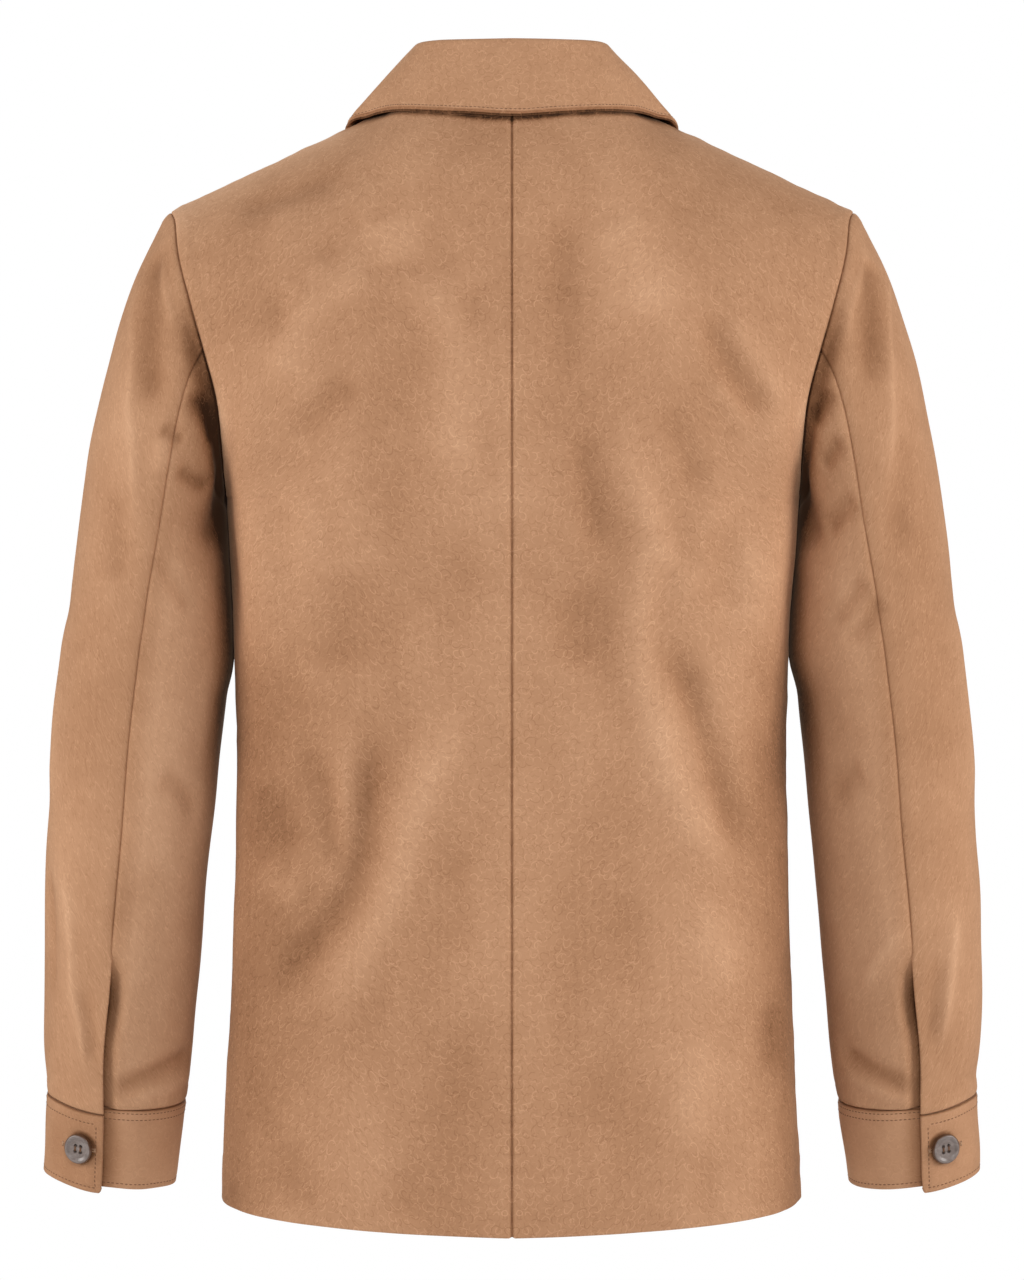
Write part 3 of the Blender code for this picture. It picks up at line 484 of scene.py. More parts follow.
# Each fold is a soft ridge (height above 0) or trough along a smooth path: a row has its width
# to one side, its height and the path's points. Some rows also say how much painted light is
# added there, paler above 0 and painted shade below it (nap), how much wider one
# side is than the other (lean), and the shares of the path in which it starts and ends (fade).
# On the back and fronts the path is x, z; on a sleeve it is degrees round the arm (0 outside,
# 90 behind) and z.
backFolds = [
    # left panel: an arch over the shoulder blade, then a slanting trough with its ridge
    (11, 1.6, [(153, -198), (144, -169), (128, -144), (103, -128), (81, -115)]),
    (13, 1.4, [(81, -115), (46, -144), (38, -188), (39, -220), (30, -265)]),
    (11, -1.6, [(140, -226), (116, -201), (94, -190)]),
    (8, -0.9, [(149, -126), (149, -144), (145, -162)]),
    (9, -0.9, [(27, -128), (22, -142), (20, -156)]),
    (8, -1.0, [(18, -205), (15, -232), (14, -264)]),
    (20, -1.9, [(98, -306), (106, -345), (110, -378)]),
    (11, 0.7, [(62, -326), (59, -355), (64, -388)]),
    (11, -2.6, [(80, -404), (91, -444), (94, -475), (101, -507), (117, -533), (142, -563),
     (164, -594)], {"lean": 0.2}),
    (9, -1.7, [(140, -418), (121, -448), (117, -480), (106, -512)]),
    (8, 0.9, [(105, -406), (106, -438), (109, -466)]),
    (11, 1.7, [(166, -502), (151, -513), (132, -522)]),
    (12, -1.2, [(161, -446), (153, -470), (140, -492)]),
    (14, 2.1, [(27, -384), (46, -430), (61, -472), (72, -510), (89, -547), (114, -606)],
     {"lean": -0.2}),
    (12, -0.9, [(38, -476), (34, -520), (38, -564)]),
    (12, -0.8, [(30, -596), (27, -625), (32, -656)]),
    (15, -1.1, [(144, -674), (136, -697), (128, -722)]),
    (12, -0.9, [(76, -690), (70, -706), (72, -726)]),
    (7, -1.0, [(184, -78), (150, -65), (108, -50)]),
    (10, -0.9, [(126, -114), (112, -97), (94, -82)]),
    (22, 0.3, [(80, -82), (75, -100), (72, -118)], {"nap": 0.09}),
    # right panel: a long curved ridge between two troughs, and a short sharp one by the arm
    (11, -1.2, [(-28, -74), (-32, -122), (-34, -160), (-28, -196)]),
    (20, 1.5, [(-64, -80), (-80, -115), (-86, -156)]),
    (9, -1.7, [(-118, -142), (-138, -176), (-166, -218)]),
    (6, 1.0, [(-126, -187), (-138, -203), (-152, -221)]),
    (8, 1.2, [(-134, -147), (-152, -168), (-176, -204)]),
    (12, 2.3, [(-73, -194), (-73, -233), (-82, -265), (-89, -292), (-81, -329), (-80, -367),
     (-89, -399), (-98, -431), (-114, -469), (-132, -500), (-151, -520)]),
    (8, 0.9, [(-91, -286), (-104, -306), (-118, -330)]),
    (9, -1.4, [(-43, -216), (-50, -262), (-57, -304)]),
    (15, -1.4, [(-39, -318), (-42, -345), (-47, -374)]),
    (10, -1.2, [(-97, -200), (-108, -232), (-124, -266)]),
    (12, -1.1, [(-132, -276), (-135, -310), (-129, -340)]),
    (10, -2.6, [(-95, -354), (-112, -386), (-124, -420), (-134, -450), (-142, -474),
     (-154, -500)], {"lean": 0.2}),
    (14, 1.1, [(-120, -516), (-130, -552), (-139, -590)]),
    (13, -0.8, [(-68, -510), (-74, -550), (-71, -590)]),
    (16, 0.8, [(-111, -606), (-116, -645), (-109, -686)]),
    (12, -0.8, [(-118, -684), (-123, -704), (-117, -724)]),
    (10, 0.7, [(-149, -286), (-156, -320), (-150, -356)]),
    (8, -1.2, [(-174, -590), (-167, -612), (-171, -638)]),
]
frontFolds = [
    (11, -2.2, [(168, -222), (140, -260), (108, -282)], {"lean": 0.2}),
    (12, 1.6, [(162, -250), (134, -300), (112, -352)]),
    (15, 2.0, [(104, -330), (112, -400), (98, -470), (104, -560)], {"lean": 0.3}),
    (17, -1.2, [(70, -180), (78, -250), (70, -320)]),
    (14, -2.0, [(140, -430), (124, -500), (140, -580), (134, -650)]),
    (15, 1.2, [(54, -500), (66, -580), (58, -660)]),
    (11, -2.0, [(-160, -226), (-134, -262), (-100, -290)], {"lean": 0.2}),
    (12, 1.7, [(-160, -262), (-138, -320), (-118, -380)]),
    (15, 1.8, [(-90, -350), (-102, -420), (-90, -500), (-100, -600)], {"lean": 0.3}),
    (14, -2.1, [(-132, -420), (-120, -490), (-138, -570), (-128, -640)]),
    (17, -1.1, [(-62, -210), (-70, -270), (-60, -330)]),
    (16, 1.2, [(-50, -520), (-58, -600), (-52, -680)]),
]
# what both sleeves share, and what each has of its own
sleeveFolds = {
    "both": [
        (11, -2.4, [(166, -232), (150, -262), (136, -300)]),
        (12, -2.6, [(300, -360), (262, -396), (222, -420)], {"lean": 0.2}),
        (10, 2.2, [(304, -392), (268, -424), (228, -452)]),
        (10, -2.2, [(296, -426), (258, -458), (226, -480)], {"lean": 0.2}),
        (13, -2.0, [(276, -190), (262, -240), (238, -290)]),
        (10, 1.6, [(318, -520), (304, -580), (312, -640)], {"lean": 0.2}),
        (12, 1.2, [(20, -330), (14, -400), (22, -470)]),
    ],
    "left": [
        (9.5, -2.0, [(24, -97), (32, -110), (42, -132), (53, -160), (65, -188), (77, -213)],
         {"nap": -0.08, "fade": (0.14, 0.24)}),
        (2.4, 0.6, [(30, -98), (47, -122), (59, -140), (70, -156)], {"nap": 0.04}),
        (2.3, 0.7, [(17, -123), (29, -147), (46, -173), (53, -200), (62, -225), (68, -252),
         (74, -282)], {"nap": 0.05}),
        (10, 0.9, [(28, -150), (45, -178), (56, -214), (67, -250), (75, -300)]),
        (9, -1.4, [(55, -250), (64, -290), (68, -324)]),
        (7, 1.1, [(79, -220), (85, -232), (86, -249)]),
        (5.5, -1.8, [(92, -193), (103, -202), (118, -216), (132, -228)], {"nap": -0.14}),
        (5, -1.4, [(79, -217), (88, -221), (100, -227)], {"nap": -0.08}),
        (5, -1.5, [(96, -243), (112, -250), (134, -256)], {"nap": -0.1}),
        (5, -1.3, [(90, -297), (107, -317), (125, -339)]),
        (6, -1.5, [(112, -443), (130, -455), (147, -471)]),
        (3, 0.7, [(39, -494), (53, -528), (59, -562), (62, -587), (71, -613), (79, -650)],
         {"nap": 0.05}),
        (10, 0.9, [(38, -488), (54, -532), (61, -580), (79, -652)]),
        (6, -1.2, [(23, -500), (36, -547), (39, -598)]),
        (6, -1.0, [(67, -582), (77, -606), (86, -638)]),
        (7, -2.2, [(174, -631), (126, -645), (94, -657)], {"nap": -0.08}),
        (4, 0.9, [(180, -647), (140, -655), (110, -661)]),
        (11, -0.9, [(126, -500), (108, -520), (98, -548)]),
    ],
    "right": [
        (9, -1.8, [(28, -106), (37, -120), (49, -146), (59, -170), (69, -196)],
         {"nap": -0.09, "fade": (0.1, 0.28)}),
        (2.3, 0.7, [(6, -100), (12, -114), (29, -138), (49, -180), (59, -218), (71, -257)],
         {"nap": 0.05}),
        (2.4, 0.6, [(20, -92), (39, -111), (62, -140), (75, -167)], {"nap": 0.04}),
        (10, 0.9, [(36, -150), (58, -204), (74, -270)]),
        (9, -1.2, [(46, -216), (62, -264), (68, -305)]),
        (5.5, -1.7, [(95, -191), (103, -199), (110, -206), (122, -216)], {"nap": -0.12}),
        (6, -1.8, [(97, -224), (105, -230), (112, -236), (122, -244)], {"nap": -0.06}),
        (8, -2.0, [(92, -262), (107, -271), (126, -285)]),
        (6, -1.6, [(97, -313), (110, -329), (125, -348)]),
        (6, -1.6, [(86, -326), (100, -343), (116, -359)]),
        (9, -1.5, [(112, -440), (126, -446), (142, -462)]),
        (5, 0.9, [(93, -543), (112, -562), (130, -587)]),
        (3, 0.7, [(53, -530), (59, -562), (65, -594), (74, -625)], {"nap": 0.05}),
        (10, 0.9, [(52, -526), (60, -570), (74, -630)]),
        (6, -0.9, [(68, -560), (76, -590), (84, -626)]),
        (7, -2.1, [(160, -629), (122, -644), (96, -654)], {"nap": -0.08}),
        (4, 0.8, [(158, -644), (128, -654), (104, -661)]),
    ],
}
foldStrength = 1.85
# painted light: a painted highlight on a ridge and painted shade in a trough, for each millimetre
# of height
paintedLightOnFolds = 0.052          # paler on a ridge and darker in a trough, for each millimetre


def foldRelief(across, z, folds, spread=1.0):
    # sums of height * exp(-(d / width)^2), d being the distance to the fold's path, and of
    # the painted light that goes with them: a painted highlight on a ridge, painted shade in a
    # trough
    relief = np.zeros(across.shape)
    tone = np.zeros(across.shape)
    for width, height, points, *others in folds:
        more = others[0] if others else {}
        path = readBetween(points, np.linspace(0, len(points) - 1, 5 * len(points)))
        path[:, 0] *= spread
        steps = np.diff(path, axis=0)
        sizes = length(steps)
        before = np.cumsum(sizes) - sizes
        nearest = np.full(across.shape, np.inf)
        share = np.zeros(across.shape)
        sideways = np.zeros(across.shape)
        for start, step, size, gone in zip(path[:-1], steps, sizes, before):
            offX = across * spread - start[0]
            offZ = z - start[1]
            part = np.clip((offX * step[0] + offZ * step[1]) / size ** 2, 0, 1)
            far = np.hypot(offX - part * step[0], offZ - part * step[1])
            closer = far < nearest
            nearest = np.where(closer, far, nearest)
            share = np.where(closer, gone + part * size, share)
            sideways = np.where(closer, np.sign(offX * step[1] - offZ * step[0]), sideways)
        share = share / sizes.sum()
        fadeIn, fadeOut = more.get("fade", (0.24, 0.24))
        shape = hill(nearest, width * (1 + more.get("lean", 0) * sideways))
        shape *= foldStrength * between(share, 0, fadeIn, 1, fadeOut)
        relief += height * shape
        tone += (paintedLightOnFolds * height + more.get("nap", 0)) * shape
    return relief, tone


def ripple(points, size, seed):
    # uneven swells: the sum of 20 plane waves of about that size in random directions
    chance = np.random.default_rng(seed)
    waves = unit(chance.normal(size=(20, 3)))
    waves *= 2 * math.pi / (size * chance.uniform(0.7, 1.7, (20, 1)))
    waves[:, 2] *= 0.6
    return np.sin(points @ waves.T + chance.uniform(0, 2 * math.pi, 20)).sum(-1) / math.sqrt(10)


drape = {"wide": (120, 0.9), "middle": (52, 0.42), "small": (21, 0.12)}     # size, height


def drapeRelief(points):
    return sum(height * ripple(points, size, seed)
               for seed, (size, height) in enumerate(drape.values(), start=3))


seamShape = {
    "depth": 1.3, "width": 0.7,         # the groove at a seam
    "shadow": 0.34, "shadowWidth": 0.65,
    "allowance": 9.0, "lift": 0.30,     # cloth raised over the turned edge beneath
    "pucker": 0.22, "puckerSize": 11.0, "puckerReach": 9.0,
    "hem": 27.0, "hemLift": 0.25,
    "stitchGroove": 0.22, "stitchWidth": 0.9,
}


def seamRelief(far, share=1.0):
    # the groove at the seam and the cloth raised over the turned edge beneath
    raised = (1 - ease((far - seamShape["allowance"]) / 2)) * (1 - hill(far, 3))
    return seamShape["lift"] * raised \
        - share * seamShape["depth"] * np.exp(-far / seamShape["width"])


def stitchGroove(far, distance, depth=seamShape["stitchGroove"]):
    # what a line of stitches at that distance from an edge pulls in
    return -depth * hill(far - distance, seamShape["stitchWidth"])


def edgeRelief(points, kinds):
    # groove, raised allowance and slight puckers along seams, and a raised band along hems
    relief = np.zeros(points.shape[:2])
    for edge, kind in kinds.items():
        far = edgeDistance(points, edge)
        if kind == "seam":
            near = hill(far, seamShape["puckerReach"]) * (1 - hill(far, 2.5))
            relief += seamRelief(far)
            relief += seamShape["pucker"] * near * ripple(points, seamShape["puckerSize"], 17)
        if kind == "hem":
            relief += seamShape["hemLift"] * (1 - ease((far - seamShape["hem"]) / 2.5))
    return relief


def seamShadow(far):
    # painted shade, darkest in the seam itself
    return -seamShape["shadow"] * hill(far, seamShape["shadowWidth"])


# ---- base surfaces with common normals along the seams

def bodySurfaces():
    surfaces = {}
    for side, columns in (("back", backColumns), ("front", frontColumns)):
        for hand in hands:
            points = panelPoints(side, bodyRows, columns)
            normals = gridNormals(points, outward[side])
            if (side, hand) == ("front", "right"):
                under = 1 - ease((columns - cut["lapUnder"][0]) / cut["lapUnder"][1])
                points = points - ((cut["cloth"] + cut["lapGap"]) * under)[None, :, None] * normals
            surfaces[side, hand] = {"points": forHand(points, hand),
                                    "normals": forHand(normals, hand)}
    return surfaces


def sleeveSurfaces():
    points = sleevePoints()
    closed = np.concatenate([points[:, -1:], points, points[:, :1]], axis=1)
    normals = gridNormals(closed, -1)[:, 1:-1]
    return {hand: {"points": forHand(points, hand), "normals": forHand(normals, hand)}
            for hand in hands}


standTable = {
    "turn": (0, 45, 90, 135, 180, 225),
    "height": (34.3, 34.3, 33.0, 31.0, 28.0, 28.0),
    "leanIn": (5.5, 12.0, 15.4, 8.5, -1.0, -1.0),
    "leanBack": (0.0, 0.0, 0.0, 3.0, 4.0, 4.0),
}


def standTop(points, turns):
    height, leanIn, leanBack = (
        np.interp(np.abs(turns), standTable["turn"], standTable[name])
        for name in ("height", "leanIn", "leanBack"))
    away = unit(points * np.array([1.0, 1.0, 0.0]))
    top = points - leanIn[:, None] * away
    top[:, 1] += leanBack
    top[:, 2] += height
    return top


def standSurface(body):
    # straight lines from the neckline, left front round the back to right front, to its top
    halves = [np.concatenate([body["front", hand]["points"][0, :frontNeck],
                              body["back", hand]["points"][0, :backNeck + 1][::-1]])
              for hand in hands]
    turns = np.concatenate([180 - 90 * frontColumns[:frontNeck] / cut["neckShare"],
                            (90 * backColumns[:backNeck + 1] / cut["neckShare"])[::-1]])
    base = np.concatenate([halves[0], halves[1][:-1][::-1]])
    turns = np.concatenate([turns, -turns[:-1][::-1]])
    top = standTop(base, turns)
    parts = drawn(14, 0.6, 0.4)[:, None, None]
    points = base + (top - base) * parts
    middle = frontNeck + backNeck
    places = {
        ("front", "left"): np.arange(frontNeck + 1),
        ("back", "left"): np.arange(frontNeck, middle + 1)[::-1],
        ("back", "right"): np.arange(middle, 2 * middle - frontNeck + 1),
        ("front", "right"): np.arange(2 * middle - frontNeck, 2 * middle + 1)[::-1],
    }
    return {"points": points, "normals": gridNormals(points, 1), "places": places}


def flattened(normals, axis):
    keep = np.ones(3)
    keep[axis] = 0.0
    return unit(normals * keep)


def shareNormals(body, sleeves, stand):
    # pieces that meet at a seam get one normal there, so that their walls meet too
    base = stand["normals"][0]
    for hand in hands:
        back, front = body["back", hand]["normals"], body["front", hand]["normals"]
        ring = sleeves[hand]["normals"][0]
        back[:, 0] = flattened(back[:, 0], 0)
        for normals, neck in ((back, backNeck), (front, frontNeck)):
            normals[underarm:, -1] = flattened(normals[underarm:, -1], 1)
            normals[0, neck:] = flattened(normals[0, neck:], 1)
        bodyRing = np.concatenate([
            unit(back[:1, -1] + front[:1, -1]), back[1:underarm, -1],
            unit(back[underarm:underarm + 1, -1] + front[underarm:underarm + 1, -1]),
            front[1:underarm, -1][::-1]])
        shared = unit(bodyRing + ring)
        ring[:] = shared
        back[:underarm + 1, -1] = shared[:underarm + 1]
        front[:underarm + 1, -1] = np.concatenate([shared, shared[:1]])[::-1][:underarm + 1]
        for side, normals, neck in (("back", back, backNeck), ("front", front, frontNeck)):
            places = stand["places"][side, hand]
            base[places] = normals[0, :neck + 1] = unit(normals[0, :neck + 1] + base[places])
    base[frontNeck + backNeck] = flattened(base[frontNeck + backNeck], 0)
    for hand in hands:
        corner = unit(body["back", hand]["normals"][0, backNeck]
                      + body["front", hand]["normals"][0, frontNeck])
        body["back", hand]["normals"][0, backNeck] = corner
        body["front", hand]["normals"][0, frontNeck] = corner
        body["back", hand]["normals"][0, 0] = base[frontNeck + backNeck]


body = bodySurfaces()
sleeves = sleeveSurfaces()
stand = standSurface(body)
shareNormals(body, sleeves, stand)
print("base surfaces")

# ---- walls


def putMesh(name, points, faces, material, smoothTo=50):
    # points in millimetres, faces as arrays of quads or of polygons of one size
    mesh = bpy.data.meshes.new(name)
    faceSizes = np.concatenate([np.full(len(part), part.shape[1]) for part in faces])
    corners = np.concatenate([part.ravel() for part in faces]).astype(np.int32)
    mesh.vertices.add(len(points))
    mesh.vertices.foreach_set("co", (np.asarray(points) * mm).ravel().astype(np.float32))
    mesh.loops.add(len(corners))
    mesh.loops.foreach_set("vertex_index", corners)
    mesh.polygons.add(len(faceSizes))
    mesh.polygons.foreach_set("loop_start", (np.cumsum(faceSizes) - faceSizes).astype(np.int32))
    mesh.update(calc_edges=True)
    mesh.validate()
    mesh.shade_smooth()
    mesh.set_sharp_from_angle(angle=math.radians(smoothTo))
    mesh.materials.append(material)
    piece = putInScene(name, mesh)
    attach(piece, "root")
    return piece


def putValues(piece, name, values):
    layer = piece.data.attributes.new(name, "FLOAT", "POINT")
    layer.data.foreach_set("value", np.asarray(values, np.float32))


def tubeFaces(rings, sides):
    # quads round a tube, and the polygons that close its two ends
    index = np.arange(rings * sides).reshape(rings, sides)
    quads = np.stack([index[:-1], index[1:], np.roll(index[1:], -1, axis=1),
                      np.roll(index[:-1], -1, axis=1)], axis=-1).reshape(-1, 4)
    return quads, np.stack([index[0], index[-1][::-1]])


def bulge(share, layers):
    # a round edge for each layer: half circles side by side through the thickness
    local = 2 * (share * layers % 1) - 1
    return math.sqrt(max(1 - local ** 2, 0)) / 2 / layers


def clothPlaces(points):
    # how far along its row and down its column each point lies, in metres
    along = np.cumsum(length(np.diff(points, axis=1, prepend=points[:, :1])), axis=1)
    down = np.cumsum(length(np.diff(points, axis=0, prepend=points[:1])), axis=0)
    along = along - along[:, along.shape[1] // 2][:, None]
    return np.stack([along, -down], axis=-1).reshape(-1, 2) * mm


def wall(name, points, normals, thickness, freeEdges, material, layers=1, nap=None):
    # outer grid, inner grid a thickness beneath it, and a rim that is round on free edges;
    # nap is the painted light and shade of the outer side at each point
    rows, columns = points.shape[:2]
    count = rows * columns
    index = np.arange(count).reshape(rows, columns)
    loop = np.concatenate([index[0], index[1:, -1], index[-1, -2::-1], index[-2:0:-1, 0]])
    out = np.zeros((rows, columns, 3))
    free = np.zeros((rows, columns))
    for edge in sorted(("top", "bottom", "left", "right"), key=lambda edge: edge not in freeEdges):
        lines = fromEdge(points, edge)
        fromEdge(out, edge)[0] += unit(lines[0] - lines[1])
        fromEdge(free, edge)[0] = edge in freeEdges
    flatPoints, flatNormals = points.reshape(-1, 3), normals.reshape(-1, 3)
    through = np.broadcast_to(thickness, (rows, columns)).reshape(-1, 1)
    loopOut = unit(out.reshape(-1, 3)[loop])
    loopFree = free.ravel()[loop][:, None]
    shares = np.linspace(0, 1, 4 * layers + 3)[1:-1]
    shares = 0.5 - 0.5 * np.cos(np.pi * shares) if layers == 1 else shares
    rings = [flatPoints[loop] + through[loop]
             * (bulge(share, layers) * loopFree * loopOut - share * flatNormals[loop])
             for share in shares]
    allPoints = np.concatenate([flatPoints, flatPoints - through * flatNormals, *rings])
    loops = [loop] + [2 * count + place * len(loop) + np.arange(len(loop))
                      for place in range(len(shares))] + [loop + count]
    quads = np.stack([index[:-1, :-1], index[:-1, 1:], index[1:, 1:], index[1:, :-1]], axis=-1)
    quads = quads.reshape(-1, 4)
    rim = [np.stack([np.roll(near, -1), near, far, np.roll(far, -1)], axis=1)
           for near, far in zip(loops[:-1], loops[1:])]
    faces = np.concatenate([quads, quads[:, ::-1] + count, *rim])
    a, b, c = (flatPoints[quads[:, place]] for place in (0, 1, 2))
    facing = np.sum(np.cross(b - a, c - a) * flatNormals[quads[:, 0]])
    if facing < 0:
        faces = faces[:, ::-1]
    piece = putMesh(name, allPoints, [faces], material)
    tones = np.zeros(len(allPoints))
    if nap is not None:
        tones[:count] = nap.ravel()
        tones[2 * count:] = (nap.ravel()[loop] * (1 - shares)[:, None]).ravel()
    putValues(piece, "nap", tones)
    places = clothPlaces(points)
    places = np.concatenate([places, places] + [places[loop]] * len(shares))
    corners = np.empty(len(piece.data.loops), np.int32)
    piece.data.loops.foreach_get("vertex_index", corners)
    layer = piece.data.uv_layers.new(name="clothPlace")
    layer.data.foreach_set("uv", places[corners].astype(np.float32).ravel())
    return piece


# ---- materials

suedeLook = {
    "colour": (0.480, 0.258, 0.143),
    "collarColour": (0.500, 0.270, 0.150),
    "cuffColour": (0.452, 0.239, 0.131),
    "cloudSize": 0.055, "cloud": 0.07,          # slow changes of the nap, lighter and darker
    "patchSize": 0.017, "patch": 0.075,
    # curled marks of the brush: cell sizes, line width, and how pale or dark the lines are
    "curlSizes": (0.0056, 0.0070, 0.0062), "curlWidth": 0.00050, "curlWarp": 0.20,
    "curl": 0.28, "curlShade": 0.21,
    # of each mark: least radius and how much more, open side, least brightness and more
    "curlRadius": (0.22, 0.30), "curlOpening": (-0.45, 0.1), "curlBright": (0.25, 0.75),
    # the shade here also carries the painted light and shade, so painted shade is redder too
    "redder": 0.25, "darkest": 0.08,            # a darker nap is redder, down to that shade
    "bodyCurls": 1.0, "sleeveCurls": 0.75, "collarCurls": 0.9, "cuffCurls": 0.4,
    "fibreSize": 0.0009, "fibre": 0.06,
    "bump": 0.20, "bumpDepth": 0.0004,
    "sheen": 0.18, "sheenRoughness": 0.45, "sheenTint": (1.0, 0.66, 0.44),
    "roughness": 0.88, "specular": 0.10,
}


def makeCurlGroup():
    # an arc round the middle of each cell, facing its own way: a ring where the distance is
    # near the cell's own radius, kept on the side that its own angle points to
    group, nodes, given, result = newGroup(
        "curlMarks",
        {"Place": ("NodeSocketVector", None), "Size": ("NodeSocketFloat", 0.007),
         "Width": ("NodeSocketFloat", 0.0006)},
        {"Mark": "NodeSocketFloat"})
    size = given["Size"]
    cell = nodes.add("ShaderNodeCombineXYZ", {"X": size, "Y": size, "Z": 1.0}).outputs[0]
    scaled = nodes.vector("DIVIDE", given["Place"], cell)
    twist = nodes.add("ShaderNodeTexNoise", {"Vector": scaled, "Scale": 0.9, "Detail": 1.0})
    bent = nodes.vector("MULTIPLY_ADD", nodes.vector("SUBTRACT", twist.outputs["Color"],
                                                     (0.5, 0.5, 0.5)),
                        (2 * suedeLook["curlWarp"],) * 3, scaled)
    cells = nodes.add("ShaderNodeTexVoronoi", {"Vector": bent, "Scale": 1.0},
                      voronoi_dimensions="2D", feature="F1")
    chance = nodes.add("ShaderNodeSeparateColor", {"Color": cells.outputs["Color"]})
    off = nodes.vector("SUBTRACT", bent, cells.outputs["Position"])
    aside = nodes.add("ShaderNodeSeparateXYZ", {"Vector": off})
    far = cells.outputs["Distance"]
    least, more = suedeLook["curlRadius"]
    radius = nodes.math("MULTIPLY_ADD", chance.outputs["Green"], more, least)
    thin = nodes.math("DIVIDE", size, given["Width"])
    ring = nodes.math("ABSOLUTE", nodes.math("SUBTRACT", far, radius))
    ring = nodes.math("MAXIMUM", nodes.math("SUBTRACT", 1.0, nodes.math("MULTIPLY", ring, thin)),
                      0.0)
    angle = nodes.math("MULTIPLY", chance.outputs["Red"], 2 * math.pi)
    towards = nodes.math("MULTIPLY_ADD", aside.outputs["X"], nodes.math("COSINE", angle),
                         nodes.math("MULTIPLY", aside.outputs["Y"], nodes.math("SINE", angle)))
    towards = nodes.math("DIVIDE", towards, nodes.math("MAXIMUM", far, 0.01))
    shut, opened = suedeLook["curlOpening"]
    keep = nodes.add("ShaderNodeMapRange", {
        "Value": towards, "From Min": shut, "From Max": opened}, interpolation_type="SMOOTHSTEP")
    least, more = suedeLook["curlBright"]
    bright = nodes.math("MULTIPLY_ADD", chance.outputs["Blue"], more, least)
    mark = nodes.math("MULTIPLY", nodes.math("MULTIPLY", ring, keep.outputs["Result"]), bright)
    nodes.fill(result, {"Mark": mark})
    return group


def makeSuedeGroup():
    # nap: colour and height from clouds, patches, curls and fibres of the brushed skin, with the
    # painted light and shade of each point added to the colour
    look = suedeLook
    curls = makeCurlGroup()
    group, nodes, given, result = newGroup(
        "suedeNapAndPaintedLight",
        {"Colour": ("NodeSocketColor", (0.5, 0.3, 0.2, 1.0)), "Place": ("NodeSocketVector", None),
         "Cloth Place": ("NodeSocketVector", None), "PaintedLight": ("NodeSocketFloat", 0.0),
         "Curls": ("NodeSocketFloat", 1.0)},
        {"Colour": "NodeSocketColor", "Roughness": "NodeSocketFloat", "Height": "NodeSocketFloat"})
    place = given["Place"]

    def curlAt(shift, size):
        moved = nodes.vector("ADD", given["Cloth Place"], shift)
        return nodes.add("ShaderNodeGroup", {"Place": moved, "Size": size,
                                             "Width": look["curlWidth"]},
                         node_tree=curls).outputs["Mark"]

    cloud = nodes.noise(place, 1 / look["cloudSize"], 2.0, 0.5, 0.4)
    patch = nodes.noise(place, 1 / look["patchSize"], 2.0, 0.55, 0.6)
    fibre = nodes.noise(place, 1 / look["fibreSize"], 2.0, 0.6)
    small, large, middle = look["curlSizes"]
    line = nodes.math("MAXIMUM", curlAt((3.1, 1.7, 0.0), small), curlAt((6.3, 4.9, 0.0), large))
    under = nodes.math("MAXIMUM", curlAt((9.7, 2.3, 0.0), middle), curlAt((1.3, 7.7, 0.0), large))
    line, under = (nodes.math("MULTIPLY", mark, given["Curls"]) for mark in (line, under))
    shade = 1.0
    for noise, strength in ((cloud, look["cloud"]), (patch, look["patch"]), (fibre, look["fibre"])):
        shade = nodes.math("MULTIPLY_ADD", nodes.math("SUBTRACT", noise, 0.5), 2 * strength, shade)
    shade = nodes.math("MULTIPLY_ADD", under, -look["curlShade"], shade)
    shade = nodes.math("MULTIPLY_ADD", line, look["curl"], shade)
    # painted light and shade from the mesh's nap attribute
    shade = nodes.math("ADD", shade, given["PaintedLight"])
    shade = nodes.math("MAXIMUM", shade, look["darkest"])
    redder = nodes.math("MULTIPLY_ADD", nodes.math("SUBTRACT", shade, 1.0), look["redder"], 1.0)
    tone = nodes.add("ShaderNodeCombineXYZ", {
        "X": shade, "Y": nodes.math("MULTIPLY", shade, redder),
        "Z": nodes.math("MULTIPLY", nodes.math("MULTIPLY", shade, redder), redder)})
    colour = nodes.vector("MULTIPLY", given["Colour"], tone.outputs[0])
    height = nodes.math("MULTIPLY_ADD", line, 0.6, nodes.math("MULTIPLY", fibre, 0.6))
    height = nodes.math("MULTIPLY_ADD", under, -0.5, height)
    height = nodes.math("MULTIPLY_ADD", patch, 0.8, height)
    rough = nodes.math("MULTIPLY_ADD", fibre, 0.10, look["roughness"] - 0.05)
    nodes.fill(result, {"Colour": colour, "Roughness": rough, "Height": height})
    return group


def makeSuede(name, colour, curls, group):
    look = suedeLook
    material, nodes, shader = newMaterial(name, colour)
    nap = nodes.add("ShaderNodeGroup", {
        "Colour": (*colour, 1.0), "Curls": curls, "PaintedLight": nodes.attribute("nap"),
        "Place": nodes.add("ShaderNodeTexCoord").outputs["Object"],
        "Cloth Place": nodes.add("ShaderNodeUVMap", uv_map="clothPlace").outputs["UV"],
    }, node_tree=group).outputs
    raised = nodes.add("ShaderNodeBump", {
        "Strength": look["bump"], "Distance": look["bumpDepth"], "Height": nap["Height"]})
    nodes.fill(shader, {
        "Base Color": nap["Colour"], "Roughness": nap["Roughness"],
        "Normal": raised.outputs["Normal"], "Specular IOR Level": look["specular"],
        "Sheen Weight": look["sheen"], "Sheen Roughness": look["sheenRoughness"],
        "Sheen Tint": (*look["sheenTint"], 1.0)})
    return material


# endShadeColour: the painted shade of a stitch's ends, where it goes into its hole
threadLook = {"colour": (0.19, 0.095, 0.05), "endShadeColour": (0.06, 0.028, 0.014), "roughness": 0.8}
holeThreadLook = {"colour": (0.50, 0.30, 0.18), "endShadeColour": (0.30, 0.16, 0.09), "roughness": 0.8}


